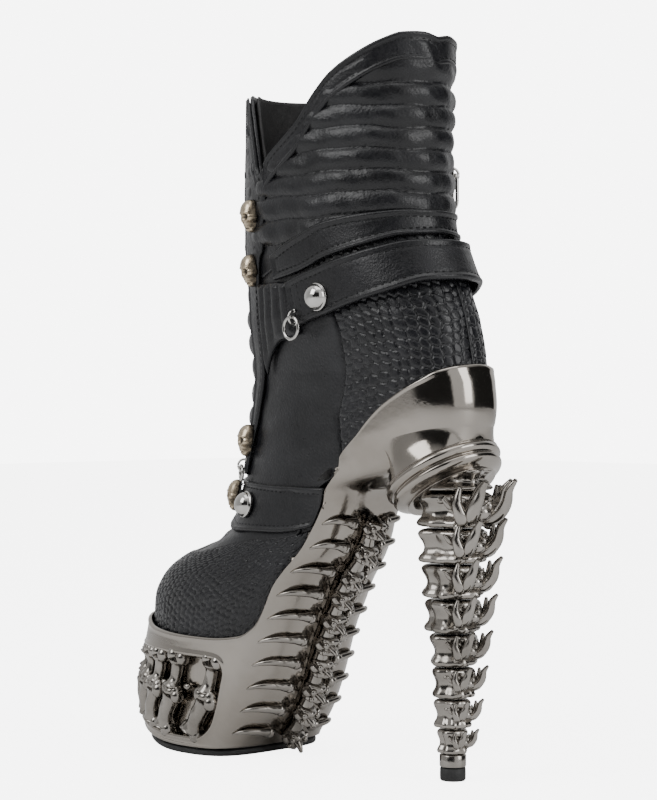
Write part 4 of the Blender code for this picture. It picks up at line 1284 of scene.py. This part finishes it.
def make_heel_collar():
    """The two rims between the cup and the heel, turned round a tilted axis."""
    builder = Builder()
    rough = [(0.0, 0.0), (25.6, 0.0), (27.4, -0.5), (28.3, -1.9), (28.2, -3.3), (27.0, -4.5),
             (25.9, -5.2), (26.6, -6.0), (27.0, -7.0), (26.4, -8.4), (24.8, -9.3), (22.2, -10.2),
             (20.8, -11.4), (20.4, -COLLAR_DEPTH), (0.0, -COLLAR_DEPTH)]
    profile = smooth_path([(r, z, 0.0) for r, z in rough], 90)[:, :2]
    profile[:, 0] = np.maximum(profile[:, 0], 0.02)
    axes = collar_axes()
    lathe(builder, profile, COLLAR_CENTRE - axes[2] * 0.4, axes, 96)
    root_piece(builder.make("collar_rims", MATERIALS["plated"]), "plated", "heel_collar")


def heel_levels():
    """Heights between the vertebrae, closer together towards the tip."""
    return [FERRULE_TOP + (HEEL_TOP - FERRULE_TOP) * (1.0 - i / VERTEBRAE) ** 1.12
            for i in range(VERTEBRAE + 1)]


def drum(builder, top, low, radius, seed):
    """One vertebral body: two lips with a deep waist, faceted round."""
    tall = top - low
    shape = [(0.2, 1.0), (0.72, 1.0), (0.88, 0.96), (0.96, 0.87), (0.93, 0.76), (0.84, 0.62),
             (0.79, 0.48), (0.82, 0.34), (0.92, 0.22), (0.95, 0.12), (0.82, 0.03), (0.2, 0.0)]
    profile = [(radius * r, low + tall * z) for r, z in shape]
    profile = smooth_path([(r, z, 0.0) for r, z in profile], 44)[:, :2]

    def facets(turn, level):
        share = (level - low) / tall
        lump = 0.07 * np.cos(5 * turn + seed * 1.3) + 0.045 * np.cos(9 * turn - seed)
        crease = -0.10 * np.exp(-((np.mod(turn * 3.0 / math.pi + 0.4 * seed, 2.0) - 1.0
                                   + 0.5 * (share - 0.5)) / 0.22) ** 2)
        return 1.0 + lump + crease * (0.5 + share * (1.0 - share) * 2.0)
    lathe(builder, profile, (0.0, HEEL_Y, 0.0), np.eye(3), 44, facets)


def horn(builder, points, thick, sides=12):
    """A pointed process along a few points."""
    path = smooth_path(points, 26)
    t = np.linspace(0, 1, 26)
    sweep(builder, path, thick * (1.0 - 0.82 * t**1.4) + 0.25, sides=sides)


def heel_processes(builder, height, reach):
    """The horns and knobs that stand out behind one vertebra of the heel, on both sides."""
    for sign in (1.0, -1.0):
        def at(x, y, z):
            return np.array((sign * x * reach, HEEL_Y + y * reach, height + z * reach))
        horn(builder, [at(0.22, 0.35, -0.10), at(0.50, 1.00, -0.08), at(0.60, 1.32, 0.22),
                       at(0.56, 1.50, 0.62), at(0.60, 1.72, 0.90)], 0.26 * reach)
        horn(builder, [at(0.40, 0.70, -0.15), at(0.72, 0.95, -0.10), at(0.86, 0.92, 0.30),
                       at(0.82, 0.98, 0.72)], 0.24 * reach)
        horn(builder, [at(0.35, 0.55, 0.16), at(0.80, 0.62, 0.20), at(1.02, 0.52, 0.42)],
             0.13 * reach)
        for centre, radii in ((at(0.55, 0.78, 0.30), (0.17, 0.17, 0.15)),
                              (at(0.62, 0.72, -0.36), (0.13, 0.14, 0.12)),
                              (at(0.28, 1.02, 0.18), (0.14, 0.14, 0.14)),
                              (at(0.72, 0.20, 0.34), (0.15, 0.18, 0.10))):
            blob(builder, centre, np.array(radii) * reach)
    blob(builder, (0.0, HEEL_Y + 0.95 * reach, height + 0.02 * reach),
         (0.30 * reach, 0.34 * reach, 0.24 * reach))


def make_heel_column():
    """A stack of vertebrae on a ferrule, and the rubber top piece that it stands on."""
    builder = Builder()
    levels = heel_levels()
    axis = (0.0, HEEL_Y, 0.0)
    for i in range(VERTEBRAE):
        top, low = levels[i], levels[i + 1]
        radius = HEEL_RADIUS + HEEL_SWELL * (1.0 - i / VERTEBRAE) ** 1.15
        if i == 0:
            top = min(top, collar_surface_height(HEEL_Y + radius) - 0.3)
        drum(builder, top, low + 0.35, radius, i)
        height = 0.5 * (levels[i] + levels[i + 1]) - (18.0 if i == 0 else 0.0)
        heel_processes(builder, height, 17.0 - 1.25 * i)
    lathe(builder, [(0.2, FERRULE_TOP + 0.2), (5.8, FERRULE_TOP + 0.2), (6.2, FERRULE_TOP - 0.3),
                    (6.2, 7.0), (6.0, 6.4), (0.2, 6.4)], axis, np.eye(3), 48)
    lathe(builder, [(4.4, HEEL_TOP - 24.0), (3.6, FERRULE_TOP)], axis, np.eye(3), 24)
    root_piece(builder.make("heel_vertebrae", MATERIALS["bone"]), "plated", "heel_column")
    tip = Builder()
    lathe(tip, [(0.05, 6.0), (5.6, 6.0), (6.0, 5.6), (6.05, 3.0), (6.0, 0.7), (5.5, 0.0), (0.05, 0.0)],
          axis, np.eye(3), 48)
    root_piece(tip.make("top_piece", MATERIALS["rubber"]), "rubber", "heel_tip")


def make_outsole():
    """Thin sole that curls up at the toe, with rounded edges and a ribbed underside."""
    count = 300
    turn = np.linspace(0, 360, count, endpoint=False)
    flat = np.full(count, 1.0)
    rim = last_point(flat, turn, 0.6)
    middle = np.stack([np.zeros(count), np.clip(rim[:, 1], -80, -48), flat], axis=-1)
    rows = [(0.03, 3.0), (0.5, 3.0), (0.985, 3.0), (1.0, 2.6), (1.006, 1.6), (1.0, 0.5), (0.985, 0.0)]
    rows += [(share, 0.0) for share in np.linspace(0.96, 0.03, 60)]
    rings = []
    for share, level in rows:
        ring = middle + (rim - middle) * share
        ring[:, 2] = level
        if level == 0.0 and share < 0.95:
            ring[:, 2] += 0.35 * (np.sin(ring[:, 1] * 1.9) > 0.2) * (share > 0.05)
        rings.append(ring)
    points = sprung(np.array(rings).transpose(1, 0, 2))
    faces = grid_faces(count, len(rows), closed=True, flip=True)
    made = new_object("tread_sole", points.reshape(-1, 3), faces, MATERIALS["rubber"])
    root_piece(made, "rubber", "outsole")


# ---------------------------------------------------------------------------------------------
# Trim
# ---------------------------------------------------------------------------------------------
DOMES = (("ankle", 223.0, 92.0, 4.7), ("instep", 124.0, 62.0, 3.0))
SKULLS = ((264.0, 56.0, 2.2), (238.0, 49.0, 2.2), (155.0, 41.5, 2.5), (127.5, 29.0, 3.0))
RINGS = (("ankle", 214.0, 80.0, 4.5, 5.2), ("instep", 142.6, 41.0, 1.9, 3.6))
RING_LIFT = 2.2
SLIDER_Z = 283.0
SLIDER_OFFSET = 1.2
SLIDER_PIVOT = 3.6
ZIP_LOW = 200.0
TOOTH_PITCH = 1.7


def seat_at(height, angle, offset, upright=False):
    """Place and axes (rows: level, up, out) at a spot on the upper."""
    def spot(z, a):
        return last_point(z, a, offset + skin_depth(z))
    place = spot(height, angle)
    side = spot(height, angle + 1.0) - spot(height, angle - 1.0)
    up = spot(height + 1.0, angle) - spot(height - 1.0, angle)
    normal = np.cross(side, up)
    if upright:
        normal[2] = 0.0
    normal = unit(normal)
    across = unit(np.cross((0.0, 0.0, 1.0), normal))
    return place, np.array((across, np.cross(normal, across), normal))


def placed(points, seat):
    """Points in the axes of a seat, moved to their place in the boot."""
    place, axes = seat
    return np.asarray(points, float) @ axes + place


def make_domes():
    """Polished domes, each turned with a thin flange."""
    profile = [(0.02, 5.6), (1.2, 5.52), (2.4, 5.2), (3.6, 4.65), (4.7, 3.8), (5.5, 2.75),
               (6.0, 1.6), (6.15, 0.95), (6.5, 0.85), (6.65, 0.55), (6.5, 0.2), (6.4, -0.6),
               (0.02, -0.6)]
    for side, sign in SIDES:
        for place, height, angle, offset in DOMES:
            builder = Builder()
            where, axes = seat_at(height, sign * angle, offset)
            lathe(builder, profile, where, axes, 64)
            made = builder.make("%s_stud_%s" % (place, side), MATERIALS["steel"])
            root_piece(made, "steel", "%s_dome_%s" % (place, side))


def dent(x, y, centre, radii, sharp=2.0):
    """A smooth spot that is 1 at its centre; sharp squares its edge."""
    return np.exp(-(((x - centre[0]) / radii[0]) ** 2 + ((y - centre[1]) / radii[1]) ** 2) ** sharp)


SKULL_HALF = 6.1
SKULL_TALL = 7.9
SKULL_DEEP = 5.6


def skull_mesh():
    """A plain skull: high forehead, sockets, nose hole, cheekbones and a row of teeth."""
    x, y = np.meshgrid(np.linspace(-1, 1, 61), np.linspace(-1, 1, 77), indexing="ij")
    jaw = smoothstep(-0.1, -0.55, y)
    half = SKULL_HALF * (1.0 - 0.34 * jaw) * (1.0 + 0.07 * dent(0, y, (0, -0.12), (1, 0.16)))
    reach = np.sqrt(np.clip(1.0 - np.abs(y) ** 2.6, 0.0, 1.0))
    px = x * half * (0.15 + 0.85 * reach)
    py = y * SKULL_TALL
    bulge = np.clip(1.0 - np.abs(x) ** 2.3, 0.0, 1.0) ** 0.5 * (0.12 + 0.88 * reach)
    pz = SKULL_DEEP * bulge * (1.0 - 0.18 * jaw)
    hollow = np.zeros_like(px)
    for sign in (-1.0, 1.0):
        eye = dent(px, py, (sign * 2.45, -0.5), (1.75, 1.6), 1.6)
        cheek = dent(px, py, (sign * 3.5, -4.2), (1.4, 1.6), 1.2)
        hollow = np.maximum(hollow, np.maximum(eye, 0.75 * cheek))
        pz += 0.5 * dent(px, py, (sign * 3.8, -2.3), (1.5, 0.7), 1.0)
        pz += 0.45 * dent(px, py, (sign * 2.2, 1.5), (1.9, 0.5), 1.0)
    nose = dent(px, py, (0.0, -2.7), (0.75, 1.05), 1.5)
    hollow = np.maximum(hollow, nose)
    mouth = dent(px, py, (0.0, -5.9), (2.6, 1.15), 2.0)
    gaps = (np.cos(px * FULL_TURN / 0.95) > 0.72) | (np.abs(py + 5.9) < 0.18)
    hollow = np.maximum(hollow, 0.85 * mouth * gaps)
    deep = 1.9 * (hollow - 0.85 * mouth * gaps * (hollow > 0))
    pz = pz - np.clip(deep, 0, None) - 0.45 * mouth * gaps
    crack = np.exp(-((px - 0.6 * np.sin(py * 1.9) - 0.9) / 0.16) ** 2) * smoothstep(1.8, 3.0, py)
    pz -= 0.18 * crack
    hollow = np.maximum(hollow, 0.5 * crack)
    edge_dark = smoothstep(0.85, 1.0, np.maximum(np.abs(x), np.abs(y)))
    top = np.stack([px, py, pz + 0.35], axis=-1).reshape(-1, 3)
    under = np.stack([px, py, np.full_like(px, -0.4)], axis=-1).reshape(-1, 3)
    shade = np.maximum(hollow, 0.8 * edge_dark).ravel()
    return top, under, np.concatenate([shade, np.ones(len(under))]), px.shape


def make_skulls():
    """Four skull studs down each side of the front."""
    top, under, shade, shape = skull_mesh()
    faces = slab_faces(*shape)
    for side, sign in SIDES:
        for number, (height, angle, offset) in enumerate(SKULLS, 1):
            seat = seat_at(height, sign * angle, offset)
            points = placed(np.concatenate([top, under]), seat)
            made = new_object("skull_%d_%s" % (number, side), points, faces, MATERIALS["pewter"],
                              layer={"hollow": shade})
            root_piece(made, "pewter", "skull_stud_%d_%s" % (number, side))


def circle(radius, start, end, count, centre=(0.0, 0.0), plane="xy"):
    """Points of an arc, in degrees, in one of two planes."""
    turn = np.radians(np.linspace(start, end, count))
    a, b = centre[0] + radius * np.cos(turn), centre[1] + radius * np.sin(turn)
    flat = np.zeros(count)
    return np.stack([a, b, flat] if plane == "xy" else [flat, a, b], axis=-1)


def make_rings():
    """A staple and the ring that swings in it, at four places."""
    steel = MATERIALS["steel"]
    for side, sign in SIDES:
        for place, height, angle, offset, radius in RINGS:
            seat = seat_at(height, sign * angle, offset)
            builder = Builder()
            sweep(builder, placed(circle(3.0, -8, 188, 40, (0.0, 0.9), "yz"), seat), 0.6, sides=14)
            for end in (-3.0, 3.0):
                blob(builder, placed([(0.0, end, 0.25)], seat)[0], (1.0, 1.0, 0.5), seat[1])
            made = builder.make("%s_staple_%s" % (place, side), steel)
            root_piece(made, "steel", "%s_keeper_%s" % (place, side))

            hinge = seat_at(height, sign * angle, offset + RING_LIFT, upright=True)
            builder = Builder()
            loop = placed(circle(radius, 90, 450 - 360 / 64, 64, (0.0, -radius)), hinge)
            swell = 0.8 + 0.03 * np.sin(np.linspace(0, FULL_TURN, 64, endpoint=False) * 9)
            sweep(builder, loop, swell, np.broadcast_to(hinge[1][2], loop.shape), sides=16,
                  closed=True)
            body = "%s_ring_%s" % (place, side)
            finished(builder.make("%s_loop_%s" % (place, side), steel), body, "steel", body)


def make_zip_chain():
    """Two tapes with a row of teeth each."""
    middle = 360.0 - ZIP_ANGLE
    for side, near, far, way in (("outer", -3.1, -0.15, -1.0), ("inner", 0.15, 3.1, 1.0)):
        tape = sheet_piece("zip_tape_" + side,
                           upright_grid(middle - far, middle - near, upright_edge(ZIP_LOW),
                                        edge(TOP_EDGE, -2.0), 0.8),
                           MATERIALS["tape"], -0.7, 0.8, mirror=True)
        root_piece(tape, "zip_tape")
        builder = Builder()
        for height in np.arange(ZIP_LOW + 2.0, 330.0, TOOTH_PITCH):
            shift = 0.5 * TOOTH_PITCH if way > 0 else 0.0
            place, axes = seat_at(height + shift, ZIP_ANGLE + way * 0.9, -0.2)
            blob(builder, place, (1.1, 0.55, 0.55), axes, 6)
            blob(builder, place - axes[0] * way * 0.9, (0.55, 0.5, 0.45), axes, 6)
        teeth = builder.make("zip_teeth_" + side, MATERIALS["steel"])
        root_piece(teeth, "zip_tape", "zip_chain_" + side)


def slider_plate(level, grow):
    """One face of the slider, a rounded wedge, as a [round, up] grid in the slider's own axes."""
    rows = []
    for share in np.linspace(0, 1, 30):
        half = (2.3 + 1.4 * smoothstep(0.1, 0.8, share)) * grow
        cap = math.sqrt(max(1.0 - (2.0 * share - 1.0) ** 8, 0.02))
        rows.append([(math.cos(a) * half * cap, (-5.5 + 11.0 * share) * grow,
                      level + 0.52 * math.sin(a))
                     for a in np.linspace(0, FULL_TURN, 24, endpoint=False)])
    return np.array(rows).transpose(1, 0, 2)


def make_slider():
    """The slider with its bridge, and the wire pull that hangs from it."""
    steel = MATERIALS["steel"]
    seat = seat_at(SLIDER_Z, ZIP_ANGLE, SLIDER_OFFSET, upright=True)
    builder = Builder()
    for level, grow in ((0.5, 1.0), (2.1, 0.94)):
        builder.add(placed(slider_plate(level, grow).reshape(-1, 3), seat),
                    grid_faces(24, 30, closed=True, flip=True))
    blob(builder, placed([(0.0, 3.4, 1.3)], seat)[0], (1.1, 1.2, 1.0), seat[1])
    sweep(builder, placed(circle(3.2, 0, 180, 30, (0.0, 2.2), "yz"), seat), 0.7, sides=12)
    finished(builder.make("slider_body", steel), "zip_slider", "steel", "zip_slider")

    hinge = (seat[0] + seat[1][2] * SLIDER_PIVOT, seat[1])
    ends = (circle(3.4, 0, 180, 24, (0.0, -3.4)), circle(3.4, 180, 360, 24, (0.0, -12.2)))
    loop = placed(np.concatenate(ends), hinge)
    builder = Builder()
    sweep(builder, loop, 0.9, np.broadcast_to(seat[1][2], loop.shape), sides=14, closed=True)
    finished(builder.make("wire_pull", steel), "zip_pull", "steel", "zip_pull")


def make_sock():
    """Padded insole that runs down from the heel to the toe."""
    heights = np.linspace(62, 181, 150)
    line = smooth_curve(FOOTBED, heights)
    share = np.linspace(-1, 1, 60)
    columns = [smooth_curve(STATIONS[:, (0, k)], heights) for k in range(1, 7)]
    front, back, half, widest, power_front, power_back = columns
    y = line + 6.0
    ahead = y < widest
    power = np.where(ahead, power_front, power_back)
    reach = np.where(ahead, widest - front, back - widest) - BED_INSET
    part = np.minimum(np.abs(y - widest) / reach, 0.98)
    wide = (half - BED_INSET) * (1.0 - part**power) ** (1.0 / power)
    x = share[:, None] * wide[None, :]
    hollow = 1.2 * (1.0 - share[:, None] ** 2)
    ribs = 0.15 * np.sin(heights[None, :] * 1.3) * (1 - share[:, None] ** 4)
    top = np.stack([x, line[None, :] + hollow + CENTRE_Y + ribs, np.broadcast_to(heights, x.shape)],
                   axis=-1)
    under = top + np.array((0.0, 2.8, 0.0))
    made = new_object("padded_insole", np.concatenate([top.reshape(-1, 3), under.reshape(-1, 3)]),
                      slab_faces(*x.shape), MATERIALS["lining"])
    root_piece(made, "lining", "sock_lining")


INTERNAL = {"platform_filler": "foam", "heel_seat_block": "foam", "toe_puff": "foam",
            "counter_stiffener": "foam", "shank_board": "board", "forepart_board": "board",
            "heel_pin": "steel", "steel_shank": "steel"}


def dress_internal_parts():
    """Gives the pieces that stay as they are in CAD their materials."""
    for name, kind in INTERNAL.items():
        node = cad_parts[name]
        for place in node.material_slots:
            place.material = MATERIALS[kind]


# ---------------------------------------------------------------------------------------------
# Studio
# ---------------------------------------------------------------------------------------------
CAMERA_PLACE = Vector((0.7264, 0.7302, 0.175))
CAMERA_LOOK = Vector((-1.0, -1.0, 0.0))
LENS_MM = 94.77
FLOOR_SIZE = 4000.0
FLOOR_DROP = -0.2
FLOOR_COLOUR = (0.9, 0.9, 0.9)
FLOOR_GLOW = 5.5
WALL_GLOW = (7.0, 7.0, 7.0)
CEILING = (0.8, 0.8, 0.8)
# The light round the room: place round it from 0 to 1, and brightness.
ROOM_BANDS = ((0.0, 0.9), (0.2, 0.9), (0.36, 0.55), (0.478, 0.5), (0.495, 0.03), (0.652, 0.03),
              (0.668, 1.0), (0.826, 1.0), (0.842, 0.03), (0.975, 0.03), (0.99, 0.9))


def floor_material():
    """Plain pale floor that looks white to the camera."""
    made = Paint("pale_floor")
    faded = tuple(value * 0.985 for value in FLOOR_COLOUR)
    made.feed("Base Color", made.mix(made.noise(3.0, 2.0), FLOOR_COLOUR, faded))
    made.fix("Roughness", 0.6)
    lift = made.node("ShaderNodeMath", operation="MULTIPLY")
    made.link(made.node("ShaderNodeLightPath").outputs["Is Camera Ray"], lift.inputs[0])
    lift.inputs[1].default_value = FLOOR_GLOW
    made.fix("Emission Color", (1.0, 1.0, 1.0, 1.0))
    made.feed("Emission Strength", lift.outputs[0])
    return made.material


def panel_light(name, place, target, size, power):
    """A soft rectangular light aimed at a point."""
    light = bpy.data.lights.new(name, "AREA")
    light.shape = "RECTANGLE"
    light.size, light.size_y = size
    light.energy = power
    made = bpy.data.objects.new(name, light)
    made.location = place
    made.rotation_euler = (Vector(target) - Vector(place)).to_track_quat("-Z", "Y").to_euler()
    bpy.context.scene.collection.objects.link(made)


def room_light(tree):
    """A pale studio: bright sheets of light round the walls with dark gaps, white to look at."""
    made = Nodes(tree, "Generated")
    round_it = made.node("ShaderNodeTexGradient", gradient_type="RADIAL")
    made.link(made.where, round_it.inputs["Vector"])
    bands = made.node("ShaderNodeValToRGB")
    made.link(round_it.outputs["Fac"], bands.inputs["Fac"])
    stops = bands.color_ramp.elements
    while len(stops) < len(ROOM_BANDS):
        stops.new(0.5)
    for stop, (place, value) in zip(stops, ROOM_BANDS):
        stop.position = place
        stop.color = (value, value, value, 1.0)
    split = made.node("ShaderNodeSeparateXYZ")
    made.link(made.where, split.inputs["Vector"])
    upward = made.ramp(split.outputs["Z"], 0.45, 0.8, 0.0, 1.0)
    room = made.mix(upward, bands.outputs["Color"], CEILING)
    seen = made.node("ShaderNodeLightPath").outputs["Is Camera Ray"]
    made.link(made.mix(seen, room, WALL_GLOW), tree.nodes["Background"].inputs["Color"])


def make_studio():
    """Floor, room light and three soft panels."""
    corners = [(x * FLOOR_SIZE, y * FLOOR_SIZE, FLOOR_DROP)
               for x, y in ((-1, -1), (1, -1), (1, 1), (-1, 1))]
    new_object("studio_floor", corners, [[0, 1, 2, 3]], floor_material(), False)
    world = bpy.data.worlds.new("studio")
    bpy.context.scene.world = world
    world.use_nodes = True
    room_light(world.node_tree)
    aim = (0.0, 0.0, 0.15)
    panel_light("key_light", (1.1, -0.2, 1.0), aim, (0.7, 0.9), 9.0)
    panel_light("fill_light", (-0.3, 1.4, 0.7), aim, (0.6, 0.9), 7.0)
    panel_light("top_light", (0.1, 0.2, 1.6), aim, (1.0, 1.0), 6.0)


def make_camera():
    """A level camera at the height of the ankle, behind the outer side."""
    data = bpy.data.cameras.new("camera")
    data.lens = LENS_MM
    data.sensor_width = 36.0
    made = bpy.data.objects.new("camera", data)
    made.location = CAMERA_PLACE
    made.rotation_mode = "QUATERNION"
    made.rotation_quaternion = CAMERA_LOOK.to_track_quat("-Z", "Y")
    bpy.context.scene.collection.objects.link(made)
    bpy.context.scene.camera = made


make_leather()
make_padding()
make_straps()
make_stitching()
make_back_seam()
make_lining()
make_sock()
make_shell()
make_toe_bones()
make_rib_spine()
make_heel_collar()
make_heel_column()
make_outsole()
make_domes()
make_skulls()
make_rings()
make_zip_chain()
make_slider()
dress_internal_parts()
make_studio()
make_camera()
